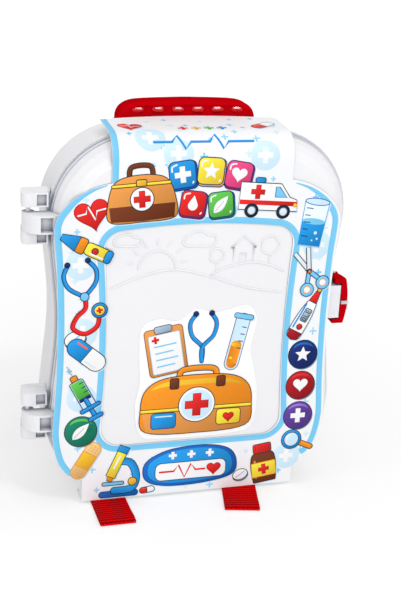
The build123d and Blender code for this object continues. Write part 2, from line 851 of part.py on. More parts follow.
def card_front():
    """Flat front panel of the sleeve with its window."""
    middle_z = (window_bottom_z + window_top_z) / 2
    tab = card_tab_half_width
    neck = card_neck_half_width
    with BuildPart() as front:
        with BuildSketch(Plane.XZ.offset(-card_back_y)):
            with BuildLine():
                card_side(1)
                card_side(-1)
                Line((card_x - tab, card_tab_z), (card_x + tab, card_tab_z))
                Line((card_x - neck, card_bend_z), (card_x + neck, card_bend_z))
            make_face()
            with BuildSketch(Plane.XZ.offset(-card_back_y), mode=Mode.SUBTRACT) as window:
                with BuildLine():
                    right_end = (card_x + window_end_half_width, window_bottom_z)
                    right_mid = (card_x + window_half_width, middle_z)
                    right_top = (card_x + window_end_half_width, window_top_z)
                    left_end = (card_x - window_end_half_width, window_bottom_z)
                    left_mid = (card_x - window_half_width, middle_z)
                    left_top = (card_x - window_end_half_width, window_top_z)
                    ThreePointArc(right_end, right_mid, right_top)
                    ThreePointArc(right_top, (card_x, window_top_z + window_arch), left_top)
                    ThreePointArc(left_top, left_mid, left_end)
                    Line(left_end, right_end)
                make_face()
                fillet(window.vertices(), window_radius)
        extrude(amount=card_thickness)
    return front.part


def card_neck():
    """Neck of the sleeve bent back over the top of the case, with an arched back edge."""
    left = card_x - card_neck_half_width
    right = card_x + card_neck_half_width
    front_y = card_front_y - 1
    corner_y = card_flap_back_y - card_flap_crown
    bend_y = card_back_y - card_thickness / 2 + card_bend_radius
    end_y = bend_y - card_bend_radius * math.sin(card_rise)
    back_z = card_top_z + (card_flap_back_y - end_y) * math.tan(card_rise)
    with BuildPart() as neck:
        with BuildSketch(Plane.YZ.offset(left)):
            with BuildLine():
                start_angle = 90 + card_rise_angle
                CenterArc((bend_y, card_bend_z), card_bend_radius, start_angle, 180 - start_angle)
                Line((end_y, card_top_z), (card_flap_back_y, back_z))
            trace(line_width=card_thickness)
        extrude(amount=2 * card_neck_half_width)
        with BuildSketch(Plane.XY.offset(card_bend_z - 1)):
            with BuildLine():
                Polyline((left, corner_y), (left, front_y), (right, front_y), (right, corner_y))
                ThreePointArc((right, corner_y), (card_x, card_flap_back_y), (left, corner_y))
            make_face()
        extrude(amount=2 * card_bend_radius, mode=Mode.INTERSECT)
    return neck.part


def card_sleeve():
    """Card sleeve: windowed front, neck folded over the top, bottom flap and corner gusset."""
    tab_left = card_x - card_tab_half_width
    tab_right = card_x + card_tab_half_width
    with BuildPart() as sleeve:
        add(card_front())
        add(card_neck())
        flap_low = (tab_left, card_front_y, card_tab_z)
        flap_high = (tab_right, card_front_y + card_tab_depth, card_tab_z + card_thickness)
        add(block(flap_low, flap_high))
        with BuildSketch(Plane.YZ.offset(tab_left)):
            with BuildLine():
                Polyline(
                    (card_front_y, card_tab_z),
                    (card_front_y, card_tab_z + gusset_height),
                    (card_front_y + gusset_depth, card_tab_z),
                    close=True,
                )
            make_face()
        extrude(amount=card_thickness)
    save(sleeve, "card_sleeve")


def face_sticker():
    """Thin sticker on the lid's face, inside the window."""
    with BuildPart() as sticker:
        with BuildSketch(Plane.XZ.offset(lid_depth)):
            with Locations((sticker_x, sticker_z)):
                RectangleRounded(2 * sticker_half_width, 2 * sticker_half_height, sticker_radius)
        extrude(amount=sticker_thickness)
    save(sticker, "face_sticker")


rear_shell()
lid()
hinge_pins()
latch_pin()
latch_clasp()
latch_tie()
carry_handle()
straps()
strap_slider("strap_slider_left", strap_left_x)
strap_slider("strap_slider_right", strap_right_x)
card_sleeve()
face_sticker()
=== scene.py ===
"""Looks of a toy medical backpack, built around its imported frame.

Lengths are written in millimetres and turned to metres where a mesh is made. X runs to the
viewer's right, Y back into the case and Z up, as in the frame.
"""

import logging
import math
import random
from dataclasses import dataclass, field
from enum import Enum
from typing import Any, Iterable, Sequence

import bmesh
import bpy
from mathutils import Matrix, Vector
from mathutils.geometry import tessellate_polygon


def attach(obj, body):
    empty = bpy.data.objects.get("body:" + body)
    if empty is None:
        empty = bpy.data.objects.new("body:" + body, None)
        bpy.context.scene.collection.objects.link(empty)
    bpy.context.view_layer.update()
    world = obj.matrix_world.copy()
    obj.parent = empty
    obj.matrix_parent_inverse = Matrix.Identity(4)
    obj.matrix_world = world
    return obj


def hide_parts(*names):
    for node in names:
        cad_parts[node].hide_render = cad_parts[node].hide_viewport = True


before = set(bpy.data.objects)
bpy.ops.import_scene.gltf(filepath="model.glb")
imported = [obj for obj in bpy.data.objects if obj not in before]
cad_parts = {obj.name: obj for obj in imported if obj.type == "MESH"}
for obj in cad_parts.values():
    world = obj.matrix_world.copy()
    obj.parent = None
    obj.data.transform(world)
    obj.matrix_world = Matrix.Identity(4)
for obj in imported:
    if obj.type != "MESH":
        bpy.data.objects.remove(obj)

logging.basicConfig(level=logging.INFO, format="%(message)s")
log = logging.getLogger("backpack")

MM = 0.001
CORNERS = ((1, 1), (-1, 1), (-1, -1), (1, -1))
Point = tuple[float, float]


def linear(hex_colour: str) -> tuple[float, float, float, float]:
    """Turn an sRGB hex colour to the linear values that shaders use.

    Args:
        hex_colour: colour written as #rrggbb.

    Returns:
        Red, green, blue and an alpha of 1.
    """
    channels = [int(hex_colour[i : i + 2], 16) / 255 for i in (1, 3, 5)]
    curve = [c / 12.92 if c <= 0.04045 else ((c + 0.055) / 1.055) ** 2.4 for c in channels]
    return (curve[0], curve[1], curve[2], 1.0)


def add_node(tree: Any, kind: str, settings: dict | None = None, links: dict | None = None) -> Any:
    """Add a shader node with its settings and its incoming links.

    Args:
        tree: the material's or world's node tree.
        kind: node type without the ShaderNode prefix.
        settings: node properties or input values, by name or input number.
        links: what feeds its inputs, by name or number: an output, or a node for its first one.

    Returns:
        The new node.
    """
    node = tree.nodes.new("ShaderNode" + kind)
    for key, value in (settings or {}).items():
        if isinstance(key, str) and hasattr(node, key):
            setattr(node, key, value)
        else:
            node.inputs[key].default_value = value
    for key, source in (links or {}).items():
        output = source.outputs[0] if isinstance(source, bpy.types.Node) else source
        tree.links.new(output, node.inputs[key])
    return node


def add_piece(mesh: Any, name: str, *materials: Any) -> Any:
    """Make a scene object from a bmesh, which is freed.

    Args:
        mesh: the bmesh, in metres.
        name: the object's name.
        materials: its material slots in order.

    Returns:
        The new object.
    """
    data = bpy.data.meshes.new(name)
    mesh.to_mesh(data)
    mesh.free()
    for material in materials:
        data.materials.append(material)
    piece = bpy.data.objects.new(name, data)
    bpy.context.collection.objects.link(piece)
    return piece


class Surface:
    """What every finish shares: a name, and the making of its material."""

    name: str

    def shader(self, tree: Any) -> Any:
        """Give the shader node; each finish has its own."""
        raise NotImplementedError

    def build(self) -> Any:
        """Make the material, with what shader gives as its surface.

        Returns:
            The new material.
        """
        material = bpy.data.materials.new(self.name)
        material.use_nodes = True
        tree = material.node_tree
        tree.nodes.clear()
        add_node(tree, "OutputMaterial", {}, {"Surface": self.shader(tree)})
        return material


@dataclass(frozen=True)
class MouldedPlastic(Surface):
    """Injection-moulded plastic with the fine spark texture of its mould.

    The spark texture breaks up highlights, and slow waves in the wall, left by cooling, keep a
    large face from looking flat. Grain too fine to show is drawn as coarse as it needs. Where
    walls meet, ambient occlusion darkens the colour towards the crease shade colour: painted
    shade that stands for the grey line seen where less light comes through the frosted wall.
    """

    name: str
    colour: str
    deep: str
    roughness: float
    ior: float = 1.49
    grain_mm: float = 0.7
    grain_depth_mm: float = 0.012
    wave_mm: float = 38.0
    wave_depth_mm: float = 0.25
    milkiness: float = 0.0
    milk_reach_mm: float = 2.5
    shine: float = 0.5
    crease_shade: str = ""
    crease_shade_mm: float = 5.0

    def shader(self, tree: Any) -> Any:
        """Mix two tones, paint shade into the creases and raise the waves and the grain.

        Args:
            tree: the material's node tree.

        Returns:
            The shader node.
        """
        place = add_node(tree, "TexCoord").outputs["Object"]
        wave = add_node(tree, "TexNoise", {"Scale": 1000 / self.wave_mm, "Detail": 2.0}, {"Vector": place})
        grain = add_node(tree, "TexNoise", {"Scale": 1000 / self.grain_mm, "Detail": 3.0}, {"Vector": place})
        tones = {"data_type": "RGBA", 6: linear(self.deep), 7: linear(self.colour)}
        colour = add_node(tree, "Mix", tones, {0: wave}).outputs[2]
        # Painted shade: ambient occlusion darkens the colour towards the crease shade colour where walls
        # meet.
        if self.crease_shade:
            near = add_node(tree, "AmbientOcclusion", {"samples": 8, "Distance": self.crease_shade_mm * MM})
            span = {"From Min": 0.25, "From Max": 0.9}
            free = add_node(tree, "MapRange", span, {"Value": near.outputs["AO"]})
            line = {"data_type": "RGBA", 6: linear(self.crease_shade)}
            colour = add_node(tree, "Mix", line, {0: free, 7: colour}).outputs[2]
        low, high = self.roughness - 0.03, self.roughness + 0.04
        spread = {"From Min": 0.3, "From Max": 0.7, "To Min": low, "To Max": high}
        rough = add_node(tree, "MapRange", spread, {"Value": wave})
        slow = add_node(tree, "Bump", {"Distance": self.wave_depth_mm * MM}, {"Height": wave})
        grit = {"Distance": self.grain_depth_mm * MM}
        fine = add_node(tree, "Bump", grit, {"Height": grain, "Normal": slow})
        reach = self.milk_reach_mm * MM
        settings = {
            "IOR": self.ior,
            "Subsurface Weight": self.milkiness,
            "Subsurface Radius": (reach, reach, reach * 1.1),
            "Subsurface Scale": 1.0,
            "Specular IOR Level": self.shine,
        }
        feeds = {"Base Color": colour, "Roughness": rough, "Normal": fine}
        return add_node(tree, "BsdfPrincipled", settings, feeds)


@dataclass(frozen=True)
class ClearFilm(Surface):
    """Thin clear polyester film of a retail tie: nearly invisible, with a bright edge."""

    name: str = "clear_polyester_film"
    colour: str = "#f4f8fa"
    alpha: float = 0.5
    streaks_per_m: float = 900.0

    def shader(self, tree: Any) -> Any:
        """Streak the clear film as rolling leaves it.

        Args:
            tree: the material's node tree.

        Returns:
            The shader node.
        """
        place = add_node(tree, "TexCoord").outputs["Object"]
        streak = add_node(tree, "TexNoise", {"Scale": self.streaks_per_m, "Detail": 1.0}, {"Vector": place})
        bump = add_node(tree, "Bump", {"Distance": 0.02 * MM}, {"Height": streak})
        settings = {"Base Color": linear(self.colour), "Roughness": 0.12, "IOR": 1.58, "Alpha": self.alpha}
        return add_node(tree, "BsdfPrincipled", settings, {"Normal": bump})


@dataclass(frozen=True)
class WovenWebbing(Surface):
    """Flat woven polyester webbing: cross ribs three millimetres apart, over fine warp.

    Each rib is a row of small floats, so its edge wanders. The ribs' crowns are painted lighter
    as the yarn's sheen, and the gaps between them painted darker as shade.
    """

    name: str = "woven_polyester_webbing"
    # The crown tone is a painted sheen and the gap tone a painted shade, both of one red yarn.
    crown: str = "#ee080c"
    shaded_gap: str = "#800206"
    rib_mm: float = 3.0
    warp_mm: float = 2.9
    relief_mm: float = 0.5
    wander_share: float = 0.75
    fuzz_share: float = 0.45
    fuzz_per_m: float = 1600.0

    def shader(self, tree: Any) -> Any:
        """Weave the ribs from two sines along the strap's own lie.

        Args:
            tree: the material's node tree.

        Returns:
            The shader node.
        """
        lie = add_node(tree, "UVMap", {"uv_map": "weave"})
        axes = add_node(tree, "SeparateXYZ", {}, {0: lie})
        warp, rib = (2 * math.pi / (spacing * MM) for spacing in (self.warp_mm, self.rib_mm))
        across = add_node(tree, "Math", {"operation": "MULTIPLY", 1: warp}, {0: axes.outputs["X"]})
        swing = add_node(tree, "Math", {"operation": "SINE"}, {0: across})
        along = add_node(tree, "Math", {"operation": "MULTIPLY", 1: rib}, {0: axes.outputs["Y"]})
        sway = {"operation": "MULTIPLY_ADD", 1: self.wander_share}
        wander = add_node(tree, "Math", sway, {0: swing, 2: along})
        crest = add_node(tree, "Math", {"operation": "SINE"}, {0: wander})
        fuzz = add_node(tree, "TexNoise", {"Scale": self.fuzz_per_m, "Detail": 3.0}, {"Vector": lie})
        level = add_node(tree, "MapRange", {"From Min": -1.0, "From Max": 1.0}, {"Value": crest})
        rough = {"operation": "MULTIPLY_ADD", 1: self.fuzz_share}
        height = add_node(tree, "Math", rough, {0: fuzz, 2: level})
        # Painted sheen and shade: the colour runs from the dark gap tone to the light crown tone with rib
        # height.
        tones = {"data_type": "RGBA", 6: linear(self.shaded_gap), 7: linear(self.crown)}
        colour = add_node(tree, "Mix", tones, {0: level}).outputs[2]
        bump = add_node(tree, "Bump", {"Distance": self.relief_mm * MM}, {"Height": height})
        settings = {"Roughness": 0.85, "Specular IOR Level": 0.04, "IOR": 1.5}
        return add_node(tree, "BsdfPrincipled", settings, {"Base Color": colour, "Normal": bump})


@dataclass(frozen=True)
class CoatedCard(Surface):
    """White-faced folding card: a clay coat that takes print, over a grey fibre back.

    The eye sees a smooth white with a soft shine on the outside, and on faces turned to the
    case a duller grey.
    """

    name: str = "coated_folding_card"
    face: str = "#f4f5f7"
    back: str = "#c9ccd0"
    fibre_mm: float = 0.9

    def shader(self, tree: Any) -> Any:
        """Tell the coated face from the grey back by the way the card faces.

        Args:
            tree: the material's node tree.

        Returns:
            The shader node.
        """
        place = add_node(tree, "TexCoord").outputs["Object"]
        facing = add_node(tree, "SeparateXYZ", {}, {0: add_node(tree, "NewGeometry").outputs["True Normal"]})
        inside = add_node(tree, "Math", {"operation": "GREATER_THAN", 1: 0.5}, {0: facing.outputs["Y"]})
        fibre = add_node(tree, "TexNoise", {"Scale": 1000 / self.fibre_mm, "Detail": 4.0}, {"Vector": place})
        tones = {"data_type": "RGBA", 6: linear(self.face), 7: linear(self.back)}
        colour = add_node(tree, "Mix", tones, {0: inside}).outputs[2]
        bump = add_node(tree, "Bump", {"Distance": 0.01 * MM}, {"Height": fibre})
        settings = {"Roughness": 0.42, "IOR": 1.5, "Specular IOR Level": 0.3}
        return add_node(tree, "BsdfPrincipled", settings, {"Base Color": colour, "Normal": bump})


@dataclass(frozen=True)
class OffsetInk(Surface):
    """One offset-printed ink under varnish, airbrushed from light to deep, with a press mottle.

    Every shape fades along its own tone, from a lighter upper left to a deeper lower right, so
    a printed thing looks rounded, and the faint mottle is what the press leaves in solid areas.
    """

    name: str
    colour: str
    fade: float
    mottle_mm: float = 2.4
    mottle: float = 0.1

    def shader(self, tree: Any) -> Any:
        """Fade the ink along the tone that each printed shape carries.

        Args:
            tree: the material's node tree.

        Returns:
            The shader node.
        """
        place = add_node(tree, "TexCoord").outputs["Object"]
        noise = add_node(tree, "TexNoise", {"Scale": 1000 / self.mottle_mm, "Detail": 3.0}, {"Vector": place})
        base = linear(self.colour)[:3]
        light = (*(min(1.0, c * (1 + self.fade) + 0.01) for c in base), 1.0)
        deep = (*(c * (1 - self.fade) for c in base), 1.0)
        tone = add_node(tree, "Attribute", {"attribute_name": "tone"}).outputs["Fac"]
        press = add_node(tree, "Math", {"operation": "MULTIPLY_ADD", 1: self.mottle}, {0: noise, 2: tone})
        colour = add_node(tree, "Mix", {"data_type": "RGBA", 6: deep, 7: light}, {0: press}).outputs[2]
        settings = {"Roughness": 0.38, "IOR": 1.5, "Specular IOR Level": 0.08}
        return add_node(tree, "BsdfPrincipled", settings, {"Base Color": colour})


class Ink(Enum):
    """Colours that the sleeve and the sticker are printed with."""

    WHITE = "#f6f6f6"
    SKY = "#79c9f0"
    PALE = "#cfeafa"
    HAZE = "#9dd6f3"
    MIST = "#eaf6fd"
    AZURE = "#1d8fd6"
    BLUE = "#1560b4"
    NAVY = "#12296b"
    OUTLINE = "#15202f"
    STEEL = "#9fb6c9"
    SILVER = "#dfe8ef"
    RED = "#d8221f"
    CRIMSON = "#a3121c"
    CORAL = "#f06a50"
    ORANGE = "#f08a1c"
    AMBER = "#fbb52c"
    YELLOW = "#ffd83d"
    SAND = "#f3bd7a"
    TAN = "#d98f45"
    BROWN = "#6d3216"
    GREEN = "#147a5e"
    LEAF = "#58b947"
    PURPLE = "#5b3a92"
    LILAC = "#8f6cc4"
    PINK = "#e0457e"

    @property
    def fade(self) -> float:
        """How far the ink shades from light to deep; the pale ones are printed almost even."""
        return 0.05 if self in (Ink.WHITE, Ink.SKY, Ink.PALE, Ink.HAZE, Ink.MIST, Ink.SILVER) else 0.3


class Sign(Enum):
    """Plain signs on the blocks and the badges."""

    CROSS = "cross"
    HEART = "heart"
    STAR = "star"
    DROP = "drop"
    LEAF = "leaf"


def spline(points: Sequence[Point], closed: bool = False, steps: int = 6) -> list[Point]:
    """Pass a smooth curve through some points.

    Args:
        points: points that the curve goes through.
        closed: whether the curve comes back to its start.
        steps: pieces between two neighbouring points.

    Returns:
        Points along the curve.
    """
    count = len(points)
    path: list[Point] = []
    for i in range(count if closed else count - 1):
        ring = [(i + k) % count if closed else min(max(i + k, 0), count - 1) for k in (-1, 0, 1, 2)]
        before, start, end, after = [Vector(points[k]) for k in ring]
        for step in range(steps):
            t = step / steps
            spot = 0.5 * (
                2 * start
                + (end - before) * t
                + (2 * before - 5 * start + 4 * end - after) * t * t
                + (3 * start - before - 3 * end + after) * t**3
            )
            path.append((spot.x, spot.y))
    return path if closed else path + [tuple(points[-1])]


def band(path: Sequence[Point], width: float, closed: bool = False) -> tuple[list[Point], list[Point]]:
    """Find the two sides of a stroke along a path.

    Args:
        path: the stroke's middle line.
        width: the stroke's width.
        closed: whether the path comes back to its start.

    Returns:
        Points of the left side and of the right side.
    """
    count = len(path)
    left: list[Point] = []
    right: list[Point] = []
    for i, (x, y) in enumerate(path):
        last = path[(i - 1) % count] if closed or i > 0 else path[i]
        following = path[(i + 1) % count] if closed or i < count - 1 else path[i]
        run = Vector((following[0] - last[0], following[1] - last[1])).normalized()
        side = Vector((-run.y, run.x)) * width / 2
        left.append((x + side.x, y + side.y))
        right.append((x - side.x, y - side.y))
    return left, right


def quarter_arc(x: float, y: float, radius: float, quarter: int, steps: int) -> list[Point]:
    """Quarter of a circle round x, y that starts quarter right angles past the x axis."""
    angles = [math.pi / 2 * (quarter + step / steps) for step in range(steps + 1)]
    return [(x + radius * math.cos(a), y + radius * math.sin(a)) for a in angles]


class PrintSheet:
    """Flat printed shapes, laid one over the other and then wrapped onto a surface."""

    TO_LIGHT = (-0.5, 0.85)
    STRIP_TONES = [1.0, 1.0, 0.25, 0.25]

    def __init__(self, step_mm: float) -> None:
        """Start an empty sheet whose layers are step_mm apart."""
        self.step, self.layer = step_mm, 1.0
        self.faces: list[tuple[list[Point], float, Ink, list[float]]] = []

    def face(self, points: Sequence[Point], ink: Ink) -> None:
        """Lay one filled outline on top of what is there, its tone fading to the lower right.

        Args:
            points: the outline, in millimetres.
            ink: its colour.
        """
        reach = [x * self.TO_LIGHT[0] + y * self.TO_LIGHT[1] for x, y in points]
        low, span = min(reach), max(max(reach) - min(reach), 1e-6)
        tones = [(value - low) / span for value in reach]
        for triple in tessellate_polygon([[Vector((x, y, 0.0)) for x, y in points]]):
            self.faces.append(([points[k] for k in triple], self.layer, ink, [tones[k] for k in triple]))
        self.layer += 1

    def strip(self, one: Sequence[Point], other: Sequence[Point], ink: Ink, closed: bool = False) -> None:
        """Fill between two lines with the same number of points.

        Args:
            one: points of the first line.
            other: points of the second line.
            ink: the colour between them.
            closed: whether the last points join the first.
        """
        for i in range(len(one) if closed else len(one) - 1):
            j = (i + 1) % len(one)
            self.faces.append(([one[i], one[j], other[j], other[i]], self.layer, ink, self.STRIP_TONES))
        self.layer += 1

    def build(self, name: str, wrap: Any, cuts: Iterable[float], inks: dict[Ink, Any]) -> Any:
        """Make the sheet's object.

        Args:
            name: the object's name.
            wrap: turns x, height on the sheet and lift, all in millimetres, to a point.
            cuts: heights at which faces are split, so that they can follow a bend.
            inks: a material for each ink.

        Returns:
            The new object.
        """
        used = sorted({ink for _, _, ink, _ in self.faces}, key=lambda ink: ink.name)
        mesh = bmesh.new()
        tone = mesh.verts.layers.float.new("tone")
        for points, layer, ink, tones in self.faces:
            corners = [mesh.verts.new((x, y, layer * self.step)) for x, y in points]
            for corner, share in zip(corners, tones):
                corner[tone] = share
            made = mesh.faces.new(corners)
            made.material_index = used.index(ink)
            made.normal_update()
            if made.normal.z < 0:
                made.normal_flip()
        for height in cuts:
            everything = [*mesh.verts, *mesh.edges, *mesh.faces]
            bmesh.ops.bisect_plane(mesh, geom=everything, plane_co=(0, height, 0), plane_no=(0, 1, 0))
        for vertex in mesh.verts:
            vertex.co = wrap(*vertex.co)
        return add_piece(mesh, name, *(inks[ink] for ink in used))


@dataclass
class Pen:
    """Draws one motif on a sheet in the motif's own millimetres, turned and scaled in place.

    Each motif starts on its base layer, and those far apart share the same heights. Where
    motifs meet, the one with the higher base lies on top.
    """

    sheet: PrintSheet
    x: float
    y: float
    turn: float = 0.0
    scale: float = 1.0
    base: float = 8.0
    line: float = 0.6
    halo: float = 0.9
    halo_drop: float = 0.99
    halo_base: float = 5.0
    halo_step: float = 0.06
    halo_cycle: float = 45.0
    end_sink: float = 0.7

    def __post_init__(self) -> None:
        """Go to the base layer."""
        self.sheet.layer = self.base

    def at(self, point: Point) -> Point:
        """Turn a motif point to a sheet point."""
        spot = Matrix.Rotation(math.radians(self.turn), 2) @ Vector(point) * self.scale
        return (self.x + spot.x, self.y + spot.y)

    def fill(self, points: Sequence[Point], ink: Ink, outline: Ink | None = None) -> None:
        """Fill an outline, with a line and a pale halo round it where outline names a colour.

        Args:
            points: the outline.
            ink: the fill.
            outline: the line's colour, or None for no line.
        """
        placed = [self.at(p) for p in points]
        if outline and self.halo:
            layer = self.sheet.layer
            self.sheet.layer = self.halo_base + self.halo_step * (layer % self.halo_cycle)
            self.sheet.face([(x + self.halo, y - self.halo_drop) for x, y in placed], Ink.PALE)
            self.sheet.layer = layer
        self.sheet.face(placed, ink)
        if outline:
            self.sheet.strip(*band(placed, self.line, closed=True), outline, closed=True)

    def stroke(self, points: Sequence[Point], width: float, ink: Ink, outline: Ink | None = None) -> None:
        """Draw a thick line with round ends.

        Args:
            points: the line's middle.
            width: its width.
            ink: its colour.
            outline: colour of a rim round it, or None for no rim.
        """
        placed = [self.at(p) for p in points]
        for extra, colour in ((2 * self.line / self.scale, outline), (0.0, ink)):
            if colour is None:
                continue
            for end in (points[0], points[-1]):
                self.disc(*end, (width + extra) / 2, colour)
                self.sheet.layer -= self.end_sink
            self.sheet.strip(*band(placed, (width + extra) * self.scale), colour)

    def oval(
        self, x: float, y: float, half_width: float, half_height: float, ink: Ink, outline: Ink | None = None
    ) -> None:
        """Draw a filled ellipse.

        Args:
            x: its middle.
            y: its middle.
            half_width: half its width.
            half_height: half its height.
            ink: the fill.
            outline: the line's colour, or None for no line.
        """
        angles = [math.pi * i / 14 for i in range(28)]
        points = [(x + half_width * math.cos(a), y + half_height * math.sin(a)) for a in angles]
        self.fill(points, ink, outline)

    def disc(self, x: float, y: float, radius: float, ink: Ink, outline: Ink | None = None) -> None:
        """Draw a filled circle."""
        self.oval(x, y, radius, radius, ink, outline)

    def plate(
        self, x: float, y: float, width: float, height: float, radius: float,
        ink: Ink, outline: Ink | None = None,
    ) -> None:
        """Draw a filled rectangle with rounded corners.

        Args:
            x: its middle.
            y: its middle.
            width: its full width.
            height: its full height.
            radius: its corner radius.
            ink: the fill.
            outline: the line's colour, or None for no line.
        """
        points: list[Point] = []
        for quarter, (sx, sy) in enumerate(CORNERS):
            middle = (x + sx * (width / 2 - radius), y + sy * (height / 2 - radius))
            points += quarter_arc(*middle, radius, quarter, 5)
        self.fill(points, ink, outline)

    def cross(
        self, x: float, y: float, size: float, arm: float, ink: Ink, outline: Ink | None = None
    ) -> None:
        """Draw an upright cross.

        Args:
            x: its middle.
            y: its middle.
            size: its full width and height.
            arm: the width of its arms.
            ink: the fill.
            outline: the line's colour, or None for no line.
        """
        a, b = arm / 2, size / 2
        upper = [(a, a), (a, b), (-a, b), (-a, a), (-b, a), (-b, -a)]
        self.fill([(x + s * px, y + s * py) for s in (1, -1) for px, py in upper], ink, outline)

    def heart(self, x: float, y: float, size: float, ink: Ink, outline: Ink | None = None) -> None:
        """Draw a heart.

        Args:
            x: its middle.
            y: its middle.
            size: its width.
            ink: the fill.
            outline: the line's colour, or None for no line.
        """
        points: list[Point] = []
        for t in [math.pi * i / 18 for i in range(36)]:
            up = 13 * math.cos(t) - 5 * math.cos(2 * t) - 2 * math.cos(3 * t) - math.cos(4 * t)
            points.append((x + math.sin(t) ** 3 * size / 2, y + up * size / 32))
        self.fill(points, ink, outline)


class Motif(Pen):
    """The generic pictures that the sleeve and the sticker are printed with."""

    def capsule(self, first: Ink = Ink.RED) -> None:
        """Two-part capsule with a shine along its top.

        Args:
            first: colour of its first half.
        """
        self.plate(0, 0, 22, 9.4, 4.7, Ink.WHITE, Ink.OUTLINE)
        turns = [math.pi * (i / 12 - 0.5) for i in range(13)]
        half = [(-4.7 * math.cos(a) - 6.3, 4.7 * math.sin(a)) for a in turns]
        self.fill(half + [(0, 4.7), (0, -4.7)], first, Ink.OUTLINE)
        self.stroke([(-7.5, 2.4), (-2, 2.6)], 1.0, Ink.CORAL)
        self.stroke([(1.5, -2.9), (7.5, -2.6)], 1.2, Ink.SILVER)

    def tablet(self) -> None:
        """Round scored tablet seen at a slant."""
        self.oval(0, -1.2, 6.8, 5.0, Ink.STEEL, Ink.OUTLINE)
        self.oval(0, 0, 6.8, 5.0, Ink.WHITE, Ink.OUTLINE)
        self.stroke([(-4.2, -1.6), (4.2, 1.6)], 0.9, Ink.SKY)

    def plaster(self) -> None:
        """Sticking plaster with its pad and breathing holes."""
        self.plate(0, 0, 34, 12.5, 6.2, Ink.SAND, Ink.TAN)
        self.plate(0, 0, 13, 12.0, 1.2, Ink.AMBER, Ink.TAN)
        for end in (-1, 1):
            for i in range(9):
                self.disc(end * (9.2 + 2.2 * (i // 3)), -2.6 + 2.6 * (i % 3), 0.42, Ink.TAN)

    def thermometer(self) -> None:
        """Digital thermometer with a reading on its screen and a round button."""
        self.fill([(-3.2, 12), (3.2, 12), (1.6, 21), (-1.6, 21)], Ink.RED, Ink.OUTLINE)
        self.disc(0, 22, 1.8, Ink.AMBER, Ink.OUTLINE)
        side = [(3.4, 12), (5.2, 2), (5.6, -12), (4, -17)]
        self.fill(spline([(-x, y) for x, y in side] + side[::-1]), Ink.WHITE, Ink.OUTLINE)
        self.fill([(-5.3, -12), (5.3, -12), (4.2, -17.5), (0, -19), (-4.2, -17.5)], Ink.CRIMSON, Ink.OUTLINE)
        self.stroke([(-3.6, -10), (-3.4, 9)], 1.3, Ink.AZURE)
        self.plate(0.8, 1.5, 5.2, 10, 1.0, Ink.STEEL, Ink.OUTLINE)
        for i, figure in enumerate("370"):
            self.figure(0.8, 4.4 - 3.0 * i, figure)
        self.disc(0.8, -8, 2.0, Ink.RED, Ink.OUTLINE)

    def figure(self, x: float, y: float, figure: str) -> None:
        """One seven-bar figure of the screen, read with the thermometer lying down.

        Args:
            x: its middle.
            y: its middle.
            figure: the numeral.
        """
        up, mid, low = ((1.5, 0.8), (1.5, -0.8)), ((0, 0.8), (0, -0.8)), ((-1.5, 0.8), (-1.5, -0.8))
        bars = {
            "a": up,
            "b": (up[1], mid[1]),
            "c": (mid[1], low[1]),
            "d": (low[1], low[0]),
            "e": (low[0], mid[0]),
            "f": (mid[0], up[0]),
            "g": mid,
        }
        for bar in {"3": "abcdg", "7": "abc", "0": "abcdef"}[figure]:
            self.stroke([(x + a, y + b) for a, b in bars[bar]], 0.5, Ink.OUTLINE)

    def beaker(self) -> None:
        """Measuring glass half full of blue liquid, with scale marks."""
        self.fill([(-9, 16), (9, 16), (8, -16), (-8, -16)], Ink.MIST, Ink.AZURE)
        self.fill([(-8.5, 2), (8.5, 2), (7.8, -15.6), (-7.8, -15.6)], Ink.AZURE)
        self.oval(0, 2, 8.5, 2.2, Ink.SKY)
        self.oval(0, 16, 9, 2.4, Ink.PALE, Ink.BLUE)
        for i in range(5):
            self.stroke([(-7, 11 - 5 * i), (-2.5 - (i % 2), 11 - 5 * i)], 0.6, Ink.NAVY)
        for x, y, radius in ((3, -6, 1.2), (5, -10, 0.8), (1.4, -11.5, 0.6)):
            self.disc(x, y, radius, Ink.PALE)

    def bottle(self) -> None:
        """Brown medicine bottle with a red cap and a label."""
        body = spline([(-8, -17), (-9, -10), (-9, 0), (-6, 6), (6, 6), (9, 0), (9, -10), (8, -17)])
        self.fill(body, Ink.BROWN, Ink.OUTLINE)
        self.stroke([(-6, -13), (-6, 0)], 1.4, Ink.TAN)
        self.plate(0, -7, 17.6, 11, 0.8, Ink.YELLOW, Ink.ORANGE)
        self.cross(0, -7, 7.5, 2.6, Ink.RED, Ink.CRIMSON)
        self.plate(0, 9.5, 13, 7, 1.4, Ink.RED, Ink.OUTLINE)
        for i in range(5):
            self.stroke([(-4.6 + 2.3 * i, 7.6), (-4.6 + 2.3 * i, 11.4)], 0.5, Ink.CRIMSON)

    def stethoscope(self) -> None:
        """Stethoscope with two ear tubes, a disc and a looped hose."""
        for side in (-1, 1):
            tube = spline([(side * 7, 24), (side * 11, 17), (side * 9, 8), (0, 0)])
            self.stroke(tube, 2.0, Ink.AZURE, Ink.NAVY)
            self.disc(side * 7, 24.5, 1.8, Ink.NAVY, Ink.OUTLINE)
        hose = spline([(0, 0), (-1, -8), (-8, -13), (-12, -20), (-5, -26), (4, -23), (7, -16)])
        self.stroke(hose, 2.3, Ink.RED, Ink.CRIMSON)
        self.disc(0, 0, 3.0, Ink.SKY, Ink.NAVY)
        self.disc(8, -12, 5.4, Ink.AZURE, Ink.OUTLINE)
        self.disc(8, -12, 3.7, Ink.YELLOW, Ink.NAVY)
        self.cross(8, -12, 4.4, 1.5, Ink.RED)

